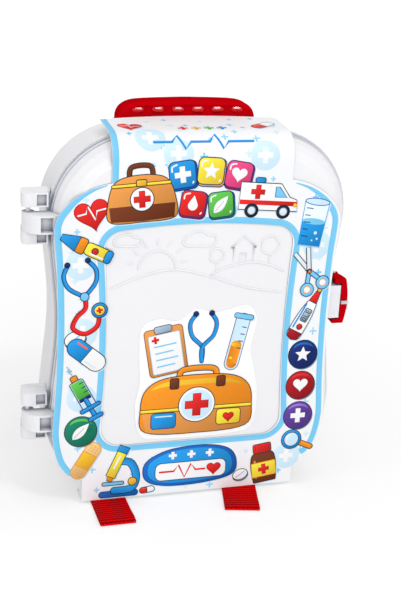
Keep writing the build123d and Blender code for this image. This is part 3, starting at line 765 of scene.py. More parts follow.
    def syringe(self) -> None:
        """Toy syringe with a plunger and scale marks."""
        self.stroke([(0, 12), (0, 20)], 0.7, Ink.STEEL)
        self.plate(0, 11, 4, 4, 0.8, Ink.ORANGE, Ink.OUTLINE)
        self.plate(0, 0, 8.4, 19, 1.4, Ink.PALE, Ink.NAVY)
        self.plate(0, 3.5, 7.4, 11, 1.0, Ink.LEAF)
        self.plate(0, -3, 7.4, 2.2, 0.5, Ink.NAVY)
        self.stroke([(0, -4), (0, -15)], 2.0, Ink.AZURE, Ink.NAVY)
        self.plate(0, -16.5, 9.4, 2.6, 1.2, Ink.AZURE, Ink.NAVY)
        self.plate(0, -9.6, 13, 2.4, 1.1, Ink.AZURE, Ink.NAVY)
        for i in range(4):
            self.stroke([(1.2, 7 - 3 * i), (3.6, 7 - 3 * i)], 0.5, Ink.NAVY)

    def scissors(self) -> None:
        """Blunt bandage scissors."""
        for side in (-1, 1):
            blade = [(side, -2), (side * 7, 17), (side * 4, 18), (-side * 2, 0)]
            self.fill(blade, Ink.SILVER, Ink.OUTLINE)
        for side in (-1, 1):
            self.stroke([(0, 0), (side * 4.5, -8)], 2.6, Ink.SKY, Ink.NAVY)
            self.disc(side * 6.5, -13, 5.2, Ink.SKY, Ink.NAVY)
            self.disc(side * 6.5, -13, 2.7, Ink.WHITE, Ink.ORANGE)
        self.disc(0, -0.5, 1.4, Ink.ORANGE, Ink.OUTLINE)

    def microscope(self) -> None:
        """Toy microscope on a broad foot."""
        self.plate(0, -15.5, 27, 4.6, 2.2, Ink.BLUE, Ink.OUTLINE)
        self.stroke(spline([(-3, -13), (9, -12), (12, -3), (8, 7), (0, 9)]), 4.6, Ink.AZURE, Ink.OUTLINE)
        self.plate(-4, -7.5, 15, 2.6, 1.0, Ink.SKY, Ink.OUTLINE)
        self.fill([(-9, -1), (-3, -4), (5, 14), (-1, 17)], Ink.YELLOW, Ink.OUTLINE)
        self.fill([(-1.6, 17), (5.4, 13.6), (7.4, 18), (0.6, 21)], Ink.AZURE, Ink.OUTLINE)
        self.fill([(-8.4, -1.3), (-3.6, -3.6), (-5, -6.4), (-8, -5)], Ink.ORANGE, Ink.OUTLINE)
        self.disc(9.5, -7, 3.0, Ink.AMBER, Ink.OUTLINE)
        self.stroke([(-3.6, 4), (0.6, 12.6)], 1.2, Ink.WHITE)

    def magnifier(self) -> None:
        """Magnifying glass with an orange handle."""
        self.stroke([(5.5, -5.5), (14, -14)], 4.2, Ink.ORANGE, Ink.OUTLINE)
        self.disc(0, 0, 9, Ink.AZURE, Ink.OUTLINE)
        self.disc(0, 0, 6.6, Ink.PALE, Ink.NAVY)
        self.stroke(spline([(-4.2, 0.5), (-3, 3.4), (0, 4.6)]), 1.1, Ink.WHITE)

    def torch(self) -> None:
        """Pocket torch for looking into ears."""
        self.plate(0, -8, 9, 20, 4.2, Ink.YELLOW, Ink.OUTLINE)
        self.plate(0, -16, 9, 5, 2.4, Ink.AZURE, Ink.OUTLINE)
        self.plate(0, 4, 11, 6, 1.6, Ink.ORANGE, Ink.OUTLINE)
        self.fill([(-5.5, 7), (5.5, 7), (2, 19), (-2, 19)], Ink.AZURE, Ink.OUTLINE)
        self.disc(0, -6, 2.2, Ink.RED, Ink.OUTLINE)
        self.stroke([(-2.6, -13), (-2.6, -3)], 1.0, Ink.WHITE)

    def pulse_heart(self) -> None:
        """Heart with a pulse line across it."""
        self.heart(0, 0, 20, Ink.RED, Ink.CRIMSON)
        self.stroke([(-8, 1), (-3.4, 1), (-1.6, 5), (1.2, -4), (3, 1), (8, 1)], 1.0, Ink.WHITE)

    def pulse_line(self) -> None:
        """Long pulse line with two beats."""
        first = [(-36, 0), (-24, 0), (-20, 5), (-15, -5), (-11, 0)]
        self.stroke(first + [(2, 0), (6, 6), (11, -5), (15, 0), (32, 0)], 1.9, Ink.AZURE)

    def ghost_cross(self) -> None:
        """Pale disc with a white cross, part of the background."""
        self.disc(0, 0, 9, Ink.PALE)
        self.cross(0, 0, 9.5, 3.2, Ink.WHITE)

    def block(self, colour: Ink, shade: Ink, sign: Sign) -> None:
        """Square toy block with a white sign on it.

        Args:
            colour: the block's face.
            shade: its side.
            sign: what it shows.
        """
        self.line = 0.7
        self.plate(0.6, -1.0, 20, 20, 4, shade, Ink.NAVY)
        self.plate(0, 0, 19, 19, 4, colour, Ink.NAVY)
        self.stroke(spline([(-7.3, 3.0), (-6.9, 6.2), (-3.6, 7.4)]), 1.1, Ink.WHITE)
        self.stroke([(7.2, -6.0), (6.6, -6.9)], 1.0, Ink.WHITE)
        self.sign(sign, 11.5)

    def badge(self, colour: Ink, light: Ink, sign: Sign) -> None:
        """Round glossy badge with a white sign.

        Args:
            colour: the badge's face.
            light: its shine.
            sign: what it shows.
        """
        self.disc(0.5, -0.7, 10.6, Ink.STEEL)
        self.disc(0, 0, 10.4, colour, Ink.OUTLINE)
        self.oval(0, 4.6, 7.0, 4.2, light)
        self.oval(0, 2.6, 7.8, 4.6, colour)
        self.sign(sign, 10.5)

    def sign(self, sign: Sign, size: float) -> None:
        """Draw a plain white sign.

        Args:
            sign: which one.
            size: its height.
        """
        if sign is Sign.CROSS:
            self.cross(0, 0, size, size / 3, Ink.WHITE)
        elif sign is Sign.HEART:
            self.heart(0, 0.6, size, Ink.WHITE)
        elif sign is Sign.STAR:
            spikes = [(size * (0.55, 0.25)[i % 2], math.pi / 2 + math.pi * i / 5) for i in range(10)]
            self.fill([(r * math.cos(a), r * math.sin(a)) for r, a in spikes], Ink.WHITE)
        elif sign is Sign.DROP:
            turns = [math.pi * (0.15 - 1.3 * i / 12) for i in range(13)]
            low = [(0.32 * size * math.cos(a), size * (0.32 * math.sin(a) - 0.12)) for a in turns]
            self.fill([(0, size * 0.55)] + low, Ink.WHITE)
        else:
            stem = [size * (i / 10 - 0.5) for i in range(11)]
            swell = [0.21 * size * math.sin(math.pi * (i / 10) ** 0.8) for i in range(11)]
            near = [(x - s, x + s) for x, s in zip(stem, swell)]
            far = [(x + s, x - s) for x, s in zip(stem, swell)]
            self.fill(near + far[-2:0:-1], Ink.WHITE)
            self.stroke([(x, x) for x in stem[1:8]], 0.5, Ink.STEEL)

    def banner(self) -> None:
        """Blue plaque with crosses, a pulse line and a heart."""
        upper = [(-29, -8), (-30, 3), (-20, 10), (-6, 13), (12, 13), (25, 9)]
        cloud = spline(upper + [(30, 0), (27, -9), (8, -13), (-16, -13)], True)
        self.fill(cloud, Ink.BLUE, Ink.NAVY)
        self.fill([(x * 0.9, y * 0.86) for x, y in cloud], Ink.AZURE)
        self.plate(0, -3.4, 46, 12, 4, Ink.WHITE, Ink.NAVY)
        beat = [(-20, -3.4), (-11, -3.4), (-8, 0.6), (-4, -8), (0, 1), (3, -3.4), (9, -3.4)]
        self.stroke(beat, 1.3, Ink.RED)
        self.heart(15, -3.4, 9, Ink.RED, Ink.CRIMSON)
        for i in range(3):
            self.cross(-12 + 12 * i, 7.6, 5.2, 1.8, Ink.WHITE)

    def doctors_bag(self) -> None:
        """Round-topped doctor's bag with a clasp and a cross."""
        self.stroke(spline([(-8, 14), (-6, 21), (6, 21), (8, 14)]), 2.6, Ink.BROWN, Ink.OUTLINE)
        rim = [(-22, -15), (-23, -2), (-17, 12), (0, 15.5), (17, 12), (23, -2), (22, -15), (0, -16.5)]
        self.fill(spline(rim, True), Ink.TAN, Ink.OUTLINE)
        self.fill([(-22.4, -5), (22.4, -5), (21.5, -15), (0, -16), (-21.5, -15)], Ink.BROWN)
        self.stroke([(-19, 9), (19, 9)], 1.6, Ink.YELLOW, Ink.BROWN)
        self.disc(0, -1, 8, Ink.WHITE, Ink.OUTLINE)
        self.cross(0, -1, 11, 3.8, Ink.RED, Ink.CRIMSON)
        self.plate(0, 10, 7, 4.4, 1.0, Ink.AMBER, Ink.OUTLINE)

    def ambulance(self) -> None:
        """Small ambulance seen from its side."""
        self.fill([(-23, -9), (-23, 12), (9, 12), (17, 2), (23, 0), (24, -9)], Ink.WHITE, Ink.OUTLINE)
        self.fill([(-22.6, -5), (23.6, -5), (23.4, -1.4), (-22.6, -1.4)], Ink.RED)
        self.fill([(8, 9.4), (14.8, 1.6), (5, 1.6), (5, 9.4)], Ink.SKY, Ink.NAVY)
        self.plate(-8, 14, 8, 4, 1.6, Ink.AZURE, Ink.OUTLINE)
        self.cross(-9, 5, 10.5, 3.6, Ink.RED, Ink.CRIMSON)
        for x in (-12.5, 13):
            self.disc(x, -9.5, 5.6, Ink.OUTLINE)
            self.disc(x, -9.5, 2.9, Ink.SILVER, Ink.STEEL)
        self.disc(22, -4, 1.4, Ink.YELLOW, Ink.ORANGE)

    def clipboard(self) -> None:
        """Clipboard with a ruled sheet."""
        self.plate(0, 0, 24, 31, 2.4, Ink.TAN, Ink.BROWN)
        self.plate(0, -1.2, 19.6, 25.4, 1.0, Ink.WHITE, Ink.STEEL)
        self.plate(0, 14.4, 11, 4.6, 1.6, Ink.STEEL, Ink.OUTLINE)
        for i in range(4):
            self.stroke([(-6.6, 4 - 4.4 * i), (6.6 - 2.4 * (i % 2), 4 - 4.4 * i)], 0.9, Ink.SKY)
        self.cross(-5.6, 8.4, 4.6, 1.6, Ink.RED)

    def test_tube(self) -> None:
        """Test tube with amber liquid."""
        self.stroke([(0, 15), (0, -12)], 8.4, Ink.PALE, Ink.NAVY)
        self.stroke([(0, -1), (0, -12)], 6.6, Ink.ORANGE)
        self.oval(0, -0.6, 3.3, 1.2, Ink.AMBER)
        self.plate(0, 17.5, 12, 3.2, 1.5, Ink.SKY, Ink.NAVY)
        for i in range(4):
            self.stroke([(0.8, 11 - 4.4 * i), (3.2, 11 - 4.4 * i)], 0.55, Ink.NAVY)
        self.disc(-1.2, -9, 0.9, Ink.YELLOW)

    def ear_tubes(self) -> None:
        """Upper half of a stethoscope."""
        for side in (-1, 1):
            arm = spline([(side * 6, 23), (side * 10, 16), (side * 8, 6), (0, -3), (0, -14)])
            self.stroke(arm, 2.4, Ink.AZURE, Ink.NAVY)
            self.disc(side * 6, 23.5, 2.0, Ink.NAVY, Ink.OUTLINE)

    def big_bag(self) -> None:
        """Broad doctor's bag with two front pockets."""
        self.stroke(spline([(-13, 17), (-11, 25), (11, 25), (13, 17)]), 3.6, Ink.ORANGE, Ink.OUTLINE)
        rim = [(-37, -21), (-41, -4), (-37, 12), (-20, 20), (20, 20), (37, 12), (41, -4), (37, -21), (0, -24)]
        self.fill(spline(rim, True), Ink.ORANGE, Ink.OUTLINE)
        self.fill([(-40.4, -5), (40.4, -5), (36.6, -21), (18, -23.4), (-18, -23.4), (-36.6, -21)], Ink.TAN)
        flap = [(-34, 11), (-20, 17), (20, 17), (34, 11), (20, 13.4), (-20, 13.4)]
        self.fill(spline(flap, True), Ink.AMBER)
        self.stroke([(-40, -5), (40, -5)], 2.0, Ink.YELLOW, Ink.BROWN)
        self.plate(-24, -13, 18, 12, 2.4, Ink.AZURE, Ink.NAVY)
        self.stroke([(-30, -9.6), (-18, -9.6)], 1.0, Ink.PALE)
        self.plate(24, -13, 18, 12, 2.4, Ink.YELLOW, Ink.BROWN)
        self.heart(24, -13.2, 8, Ink.RED, Ink.CRIMSON)
        self.disc(0, -2, 13.4, Ink.WHITE, Ink.OUTLINE)
        self.disc(0, -2, 11.6, Ink.PALE)
        self.cross(0, -2, 17, 5.8, Ink.RED, Ink.CRIMSON)
        for side in (-1, 1):
            self.plate(side * 17, 15, 6.4, 8, 1.4, Ink.BROWN, Ink.OUTLINE)


@dataclass
class SleevePrint:
    """Everything printed on the card sleeve, in sheet millimetres: x, and height along the card."""

    card_x: float = -3.8
    face_y: float = -18.7
    bend_start: float = 246.49
    bend_radius: float = 18.2
    bend_turn: float = 86.0
    neck_half: float = 62.5
    neck_low: float = 233.2
    neck_high: float = 299.0
    window_half: float = 64.0
    window_end_half: float = 67.0
    window_low: float = 43.5
    window_high: float = 201.0
    window_arch: float = 3.0
    window_radius: float = 14.0
    frame_width: float = 4.6
    edge_width: float = 4.4
    neck_band: float = 4.2
    left_margin: float = 0.15
    right_margin: float = 1.6
    step: float = 0.009
    cut_pitch: float = 0.9
    cut_count: int = 34
    speckle_count: int = 900
    speckle_x: tuple[float, float] = (-96, 88)
    speckle_z: tuple[float, float] = (6, 298)
    speckle_size: tuple[float, float] = (3.4, 5.6)
    speckle_arm: float = 1.25
    speckle_gap: float = 9.5
    seed: int = 7
    # Places without speckle: heights from and to, then distances from the card's middle.
    bare: tuple[tuple[float, float, float, float], ...] = (
        (31.5, 213, -1, 76), (226, 999, 54, 999), (-1, 28, 72, 999), (-1, 999, 91, 999)
    )

    def wrap(self, x: float, height: float, lift: float) -> Vector:
        """Place a sheet point on the card.

        Args:
            x: place across, in millimetres.
            height: place along the card from the floor, in millimetres.
            lift: distance off the card, in millimetres.

        Returns:
            The point in metres.
        """
        run = height - self.bend_start
        if run <= 0:
            return Vector((x, self.face_y - lift, height)) * MM
        turn = math.radians(self.bend_turn)
        angle = min(run / self.bend_radius, turn)
        rest = max(0.0, run - self.bend_radius * turn)
        reach = self.bend_radius + lift
        y = self.face_y + self.bend_radius - reach * math.cos(angle) + rest * math.sin(turn)
        return Vector((x, y, self.bend_start + reach * math.sin(angle) + rest * math.cos(turn))) * MM

    def window_line(self, grow: float) -> list[Point]:
        """Outline of the window, with as many points whatever its growth.

        Args:
            grow: how far outside the window's edge it runs.

        Returns:
            Points from the upper right corner round to the left.
        """
        middle = (self.window_low + self.window_high) / 2
        side_half = middle - self.window_low - self.window_radius
        radius = self.window_radius + grow
        end_x = self.window_end_half + grow - radius
        points: list[Point] = []
        for quarter, (sx, sz) in enumerate(CORNERS):
            edge_z = self.window_high + grow if sz > 0 else self.window_low - grow
            points += quarter_arc(self.card_x + sx * end_x, edge_z - sz * radius, radius, quarter, 8)
            for t in [step / 12 for step in range(1, 12)]:
                bulge, across = 4 * t * (1 - t), 1 - 2 * t
                if sx == sz:
                    rise = self.window_arch * bulge if sz > 0 else 0.0
                    points.append((self.card_x + sx * end_x * across, edge_z + rise))
                else:
                    half = self.window_end_half + grow - (self.window_end_half - self.window_half) * bulge
                    points.append((self.card_x + sx * half, middle + sz * side_half * across))
        return points

    def edge_line(self, side: int) -> list[Point]:
        """Side edge of the card from its neck to its lower corner.

        Args:
            side: -1 for the left edge and 1 for the right one.

        Returns:
            Points a margin inside the edge.
        """
        shoulder = [(65.5, 232.4), (71.7, 230.8), (77, 229), (82.8, 226), (88.6, 222), (92.9, 218)]
        waist = [(96.1, 214), (98.3, 210), (100, 202), (98.4, 180), (97.5, 160), (97, 131), (97.6, 100)]
        foot = [(98.6, 80), (100, 60), (99.7, 52), (98.8, 45), (97.2, 38), (94.9, 32), (90.2, 25)]
        edge = spline([(side * x, z) for x, z in shoulder + waist + foot + [(86.3, 22.4)]], steps=4)
        margin = self.left_margin if side < 0 else self.right_margin
        return [(self.card_x + x, z) for x, z in band(edge, -2 * margin * side)[0]]

    def borders(self, sheet: PrintSheet) -> None:
        """Print the blue bands round the window, along both sides and up the neck's left edge.

        Args:
            sheet: the sheet to print on.
        """
        base, ramp = 3, 20
        sheet.layer = base
        window = [self.window_line(grow) for grow in (self.frame_width, self.left_margin)]
        sheet.strip(*window, Ink.SKY, closed=True)
        for side in (-1, 1):
            edge = self.edge_line(side)
            inset, _ = band(edge, -2 * self.edge_width * side)
            for i in range(ramp):
                share = 0.15 + 0.85 * i / ramp
                inset[i] = tuple(a + (b - a) * share for a, b in zip(edge[i], inset[i]))
            sheet.layer = base
            sheet.strip(edge, inset, Ink.SKY)
        left = self.card_x - self.neck_half + self.left_margin
        inner = [(left + self.neck_band, self.neck_low - 1.4), (left + self.neck_band, self.neck_high + 1)]
        sheet.strip([(left, self.neck_low), (left, self.neck_high)], inner, Ink.SKY)

    def speckle(self, sheet: PrintSheet) -> None:
        """Scatter small pale crosses over the white.

        Args:
            sheet: the sheet to print on.
        """
        rng = random.Random(self.seed)
        across, up, count = self.speckle_x, self.speckle_z, self.speckle_count
        spots = [(rng.uniform(*across), rng.uniform(*up)) for _ in range(count)]
        kept: list[Point] = []
        for x, z in spots:
            away = abs(x - self.card_x)
            white = any(low < z < high and near < away < far for low, high, near, far in self.bare)
            if not white and all(math.hypot(x - px, z - pz) > self.speckle_gap for px, pz in kept):
                kept.append((x, z))
        for x, z in kept:
            size = rng.uniform(*self.speckle_size)
            ink = rng.choice((Ink.PALE, Ink.HAZE, Ink.SKY))
            Pen(sheet, x, z, base=1.0).cross(0, 0, size, self.speckle_arm, ink)

    def pictures(self, sheet: PrintSheet) -> None:
        """Print the motifs down both sides, along the bottom and up to the fold.

        Args:
            sheet: the sheet to print on.
        """
        ghosts = ((-86, 178), (80, 186), (-40, 264), (38, 250), (-84, 82), (70, 24), (-22, 252), (-84, 130))
        for x, z in ghosts:
            Motif(sheet, x, z, scale=1.15, base=1.4).ghost_cross()
        # Each row gives a motif, its place, turn, scale and base layer, and what is its own.
        rows = (
            (Motif.pulse_heart, -79, 213, 14, 1.15, 8),
            (Motif.torch, -82, 190, 64, 1.0, 34),
            (Motif.stethoscope, -83, 156, 12, 1.0, 8),
            (Motif.tablet, -89, 126, 20, 1.1, 8),
            (Motif.capsule, -81, 114, -40, 1.4, 20, Ink.AZURE),
            (Motif.syringe, -83, 85, 28, 1.2, 34),
            (Motif.badge, -84, 57, 0, 1.1, 8, Ink.GREEN, Ink.LEAF, Sign.LEAF),
            (Motif.plaster, -80, 34, 58, 0.9, 8),
            (Motif.microscope, -56, 22, 0, 1.05, 8),
            (Motif.beaker, 76, 201, -8, 1.0, 8),
            (Motif.scissors, 76, 167, 24, 0.95, 34),
            (Motif.thermometer, 75, 133, -28, 1.0, 8),
            (Motif.badge, 76.5, 104, 0, 1.06, 8, Ink.NAVY, Ink.BLUE, Sign.STAR),
            (Motif.badge, 76.5, 80, 0, 1.06, 8, Ink.CRIMSON, Ink.RED, Sign.HEART),
            (Motif.badge, 76.5, 56, 0, 1.06, 8, Ink.PURPLE, Ink.LILAC, Sign.CROSS),
            (Motif.magnifier, 73, 37, 20, 0.85, 8),
            (Motif.bottle, 52, 22, 8, 1.05, 8),
            (Motif.tablet, 35, 12, 16, 0.85, 8),
            (Motif.capsule, -35, 6.8, 6, 0.5, 20),
            (Motif.banner, -3, 23.4, 0, 1.15, 8),
            (Motif.doctors_bag, -46, 223, 4, 1.0, 8),
            (Motif.ambulance, 42, 220, -4, 0.9, 34),
            (Motif.block, -19, 238, 8, 0.96, 8, Ink.AZURE, Ink.BLUE, Sign.CROSS),
            (Motif.block, 0.5, 240, -4, 0.96, 8, Ink.YELLOW, Ink.AMBER, Sign.STAR),
            (Motif.block, 20, 237, -10, 0.96, 8, Ink.PINK, Ink.CRIMSON, Sign.HEART),
            (Motif.block, -11, 218, -8, 0.92, 8, Ink.RED, Ink.CRIMSON, Sign.DROP),
            (Motif.block, 8.5, 217, 6, 0.92, 8, Ink.LEAF, Ink.GREEN, Sign.LEAF),
            (Motif.pulse_line, -2, 260, 0, 1.0, 8),
            (Motif.cross, -15, 276, 0, 1.0, 8, 0, 0, 7, 2.4, Ink.RED),
            (Motif.cross, -6, 276, 0, 1.0, 8, 0, 0, 7, 2.4, Ink.AMBER),
            (Motif.cross, 3, 276, 0, 1.0, 8, 0, 0, 7, 2.4, Ink.LEAF),
            (Motif.cross, 12, 276, 0, 1.0, 8, 0, 0, 7, 2.4, Ink.AZURE),
            (Motif.capsule, 43, 281, 32, 0.9, 8),
            (Motif.pulse_heart, -50, 281, -8, 0.8, 8),
        )
        for draw, x, z, turn, scale, base, *own in rows:
            draw(Motif(sheet, x, z, turn, scale, base), *own)

    def build(self, inks: dict[Ink, Any]) -> Any:
        """Make the printed layer as one piece.

        Args:
            inks: a material for each ink.

        Returns:
            The printed layer.
        """
        sheet = PrintSheet(self.step)
        self.speckle(sheet)
        self.borders(sheet)
        self.pictures(sheet)
        cuts = [self.bend_start + self.cut_pitch * i for i in range(self.cut_count)]
        return sheet.build("sleeve_print", self.wrap, cuts, inks)


@dataclass
class FaceSticker:
    """Die-cut vinyl sticker on the lid: a doctor's bag with things looking out of it."""

    x: float = -1.0
    z: float = 95.0
    face_y: float = -18.0
    thickness: float = 0.2
    step: float = 0.008

    def wrap(self, x: float, height: float, lift: float) -> Vector:
        """Place a sheet point on the lid's flat face."""
        return Vector((self.x + x, self.face_y - self.thickness - lift, self.z + height)) * MM

    def outline(self) -> list[Point]:
        """Die-cut edge of the sticker.

        Returns:
            Points round it, from its lower left up and over to the right.
        """
        upper = [(-43, 14), (-42, 36), (-30, 42), (-16, 40), (-4, 48), (9, 45), (18, 46), (34, 49), (41, 38)]
        lower = [(38, 16), (42, -2), (45, -22), (41, -45), (20, -49), (0, -49.5), (-20, -49)]
        return spline([(-40, -46), (-45, -24), (-42, -4)] + upper + lower, closed=True, steps=5)

    def build(self, vinyl: Any, inks: dict[Ink, Any]) -> list[Any]:
        """Make the vinyl and its print.

        Args:
            vinyl: material of the white vinyl.
            inks: a material for each ink.

        Returns:
            The vinyl and the printed layer.
        """
        mesh = bmesh.new()
        rim = self.outline()
        front = [mesh.verts.new(self.wrap(x, z, 0.0)) for x, z in rim]
        back = [mesh.verts.new(self.wrap(x, z, -self.thickness)) for x, z in rim]
        mesh.faces.new(front)
        mesh.faces.new(list(reversed(back)))
        for i in range(len(rim)):
            j = (i + 1) % len(rim)
            mesh.faces.new((front[i], back[i], back[j], front[j]))
        bmesh.ops.recalc_face_normals(mesh, faces=mesh.faces)
        base = add_piece(mesh, "sticker_vinyl", vinyl)
        sheet = PrintSheet(self.step)
        Motif(sheet, -24, 18, 10, 1.15, line=0.5).clipboard()
        Motif(sheet, 27, 20, -12, 1.2, line=0.5).test_tube()
        Motif(sheet, 2, 22, 0, 0.95, line=0.5).ear_tubes()
        Motif(sheet, 0, -22, base=45, halo=0.0).big_bag()
        return [base, sheet.build("sticker_print", self.wrap, (), inks)]


@dataclass
class WebbingStrap:
    """One shoulder strap: a band of webbing folded under the case and up its back."""

    name: str
    node: str
    x: float
    turn: float
    front_run: float = 74.0
    width: float = 25.0
    thickness: float = 0.9
    pitch: float = 1.0
    turn_y: float = 22.0
    ease: float = 7.0
    bend_y: float = 39.0
    bend_z: float = 20.05
    inner_radius: float = 18.6
    tuck_y: float = 46.0
    lower_slot_z: float = 44.0
    upper_slot_z: float = 226.0
    slider_z: float = 120.0
    slider_rise: float = 1.2
    bar_half: float = 4.2
    bar_ease: float = 4.6
    fine_step: float = 2.0
    coarse_step: float = 6.0
    fold_nose: float = 1.2
    fold_bulge: float = 1.1
    puff: float = 0.9
    puff_middle: float = 4.8
    puff_width: float = 6.5
    floor_band: float = 6.0

    def rear(self, radius: float, slot_z: float, floor_z: float, hump: float) -> list[Vector]:
        """Middle line of one layer from its slot down the back to the turn under the case.

        Args:
            radius: of its bend round the case's lower back edge.
            slot_z: height of the slot that it comes out of.
            floor_z: height at which it lies under the case.
            hump: how far it stands off to go over the slider's bar.

        Returns:
            Points from the slot down.
        """
        back = self.bend_y + radius
        mouth = ((self.tuck_y, 0.0), (back - 2.4, 0.0), (back - 0.5, 0.6), (back, 2.6))
        line = [Vector((0, y, slot_z - drop)) for y, drop in mouth]
        z = slot_z - 8.0
        while z > self.bend_z + 4:
            near = max(0.0, 1 - max(0.0, abs(z - self.slider_z) - self.bar_half) / self.bar_ease)
            line.append(Vector((0, back + hump * near * near * (3 - 2 * near), z)))
            z -= self.fine_step if hump and abs(z - self.slider_z) < 14 else self.coarse_step
        for angle in [math.pi / 20 * step for step in range(11)]:
            reach, drop = radius * math.cos(angle), radius * math.sin(angle)
            line.append(Vector((0, self.bend_y + reach, self.bend_z - drop)))
        line[-1].z = floor_z
        line.append(Vector((0, (self.bend_y + self.turn_y) / 2, floor_z)))
        return line

    def front(self, floor_z: float, upper_z: float) -> list[Vector]:
        """Middle line from the turn out to the fold and back, both layers lying on the floor.

        Args:
            floor_z: height of the lower layer.
            upper_z: height of the upper layer.

        Returns:
            Points from the turn to the fold and back.
        """
        steps = 18
        fold_y = self.turn_y - self.front_run + self.fold_nose
        radius = (upper_z - floor_z) / 2
        runs = [(self.turn_y - fold_y) * step / steps for step in range(steps + 1)]
        line = [Vector((0, self.turn_y - run, floor_z)) for run in runs]
        for angle in [math.pi * step / 6 for step in range(1, 6)]:
            reach, rise = self.fold_bulge * math.sin(angle), radius * (1 - math.cos(angle))
            line.append(Vector((0, fold_y - reach, floor_z + rise)))
        for run in runs:
            rise = self.puff * math.exp(-(((run - self.puff_middle) / self.puff_width) ** 2))
            line.append(Vector((0, fold_y + run, upper_z + rise)))
        return line

    def frames(self) -> list[tuple[Vector, Vector]]:
        """Places and cross directions along the whole strap.

        Returns:
            Points from the upper slot to the lower, each with the way across.
        """
        half, full = self.thickness / 2, math.radians(self.turn)
        outer = self.rear(self.inner_radius + self.pitch, self.upper_slot_z, half, self.slider_rise)
        inner = self.rear(self.inner_radius, self.lower_slot_z, half + self.pitch, 0.0)
        placed: list[tuple[Vector, Vector]] = []
        for spot in outer + self.front(half, half + self.pitch) + list(reversed(inner)):
            on_floor = spot.z < self.floor_band
            share = (self.turn_y + self.ease - spot.y) / (2 * self.ease) if on_floor else 0.0
            share = min(max(share, 0.0), 1.0)
            angle = full * share * share * (3 - 2 * share)
            run = max(0.0, self.turn_y - spot.y) if on_floor else 0.0
            shift = Vector((self.x - math.sin(full) * run, run * (1 - math.cos(full)), 0))
            placed.append((spot + shift, Vector((math.cos(angle), -math.sin(angle), 0))))
        return placed

    def build(self, material: Any) -> Any:
        """Make the strap's mesh with a UV map in metres for its weave.

        Args:
            material: the webbing.

        Returns:
            The strap.
        """
        placed = self.frames()
        across = [-1.0, -0.96, -0.86, -0.6, -0.3, 0.0, 0.3, 0.6, 0.86, 0.96, 1.0]
        mesh = bmesh.new()
        lie = mesh.loops.layers.uv.new("weave")
        rows: list[list[Any]] = []
        runs = [0.0]
        for i, (spot, side) in enumerate(placed):
            last, following = placed[max(i - 1, 0)][0], placed[min(i + 1, len(placed) - 1)][0]
            normal = side.cross((following - last).normalized()).normalized()
            row: list[Any] = []
            for face in (1, -1):
                for u in across[::face]:
                    crown = (0.92 if abs(u) < 0.9 else 1.0) * (0.5 if abs(u) == 1.0 else 1.0)
                    place = spot + side * u * self.width / 2 + normal * face * crown * self.thickness / 2
                    row.append(mesh.verts.new(place * MM))
            rows.append(row)
            if i:
                runs.append(runs[-1] + (spot - last).length)
        widths = [u * self.width / 2 for u in across]
        widths += [self.width - w for w in reversed(widths)]
        for i in range(len(rows) - 1):
            for k in range(len(widths)):
                j = (k + 1) % len(widths)
                face = mesh.faces.new((rows[i][k], rows[i][j], rows[i + 1][j], rows[i + 1][k]))
                face.smooth = True
                end = widths[j] if j else widths[k] + 0.5
                spots = ((widths[k], runs[i]), (end, runs[i]), (end, runs[i + 1]), (widths[k], runs[i + 1]))
                for loop, (u, v) in zip(face.loops, spots):
                    loop[lie].uv = (u * MM, v * MM)
        mesh.faces.new(list(reversed(rows[0])))
        mesh.faces.new(rows[-1])
        bmesh.ops.recalc_face_normals(mesh, faces=mesh.faces)
        piece = add_piece(mesh, self.name, material)
        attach(piece, "rear_case")
        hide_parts(self.node)
        return piece


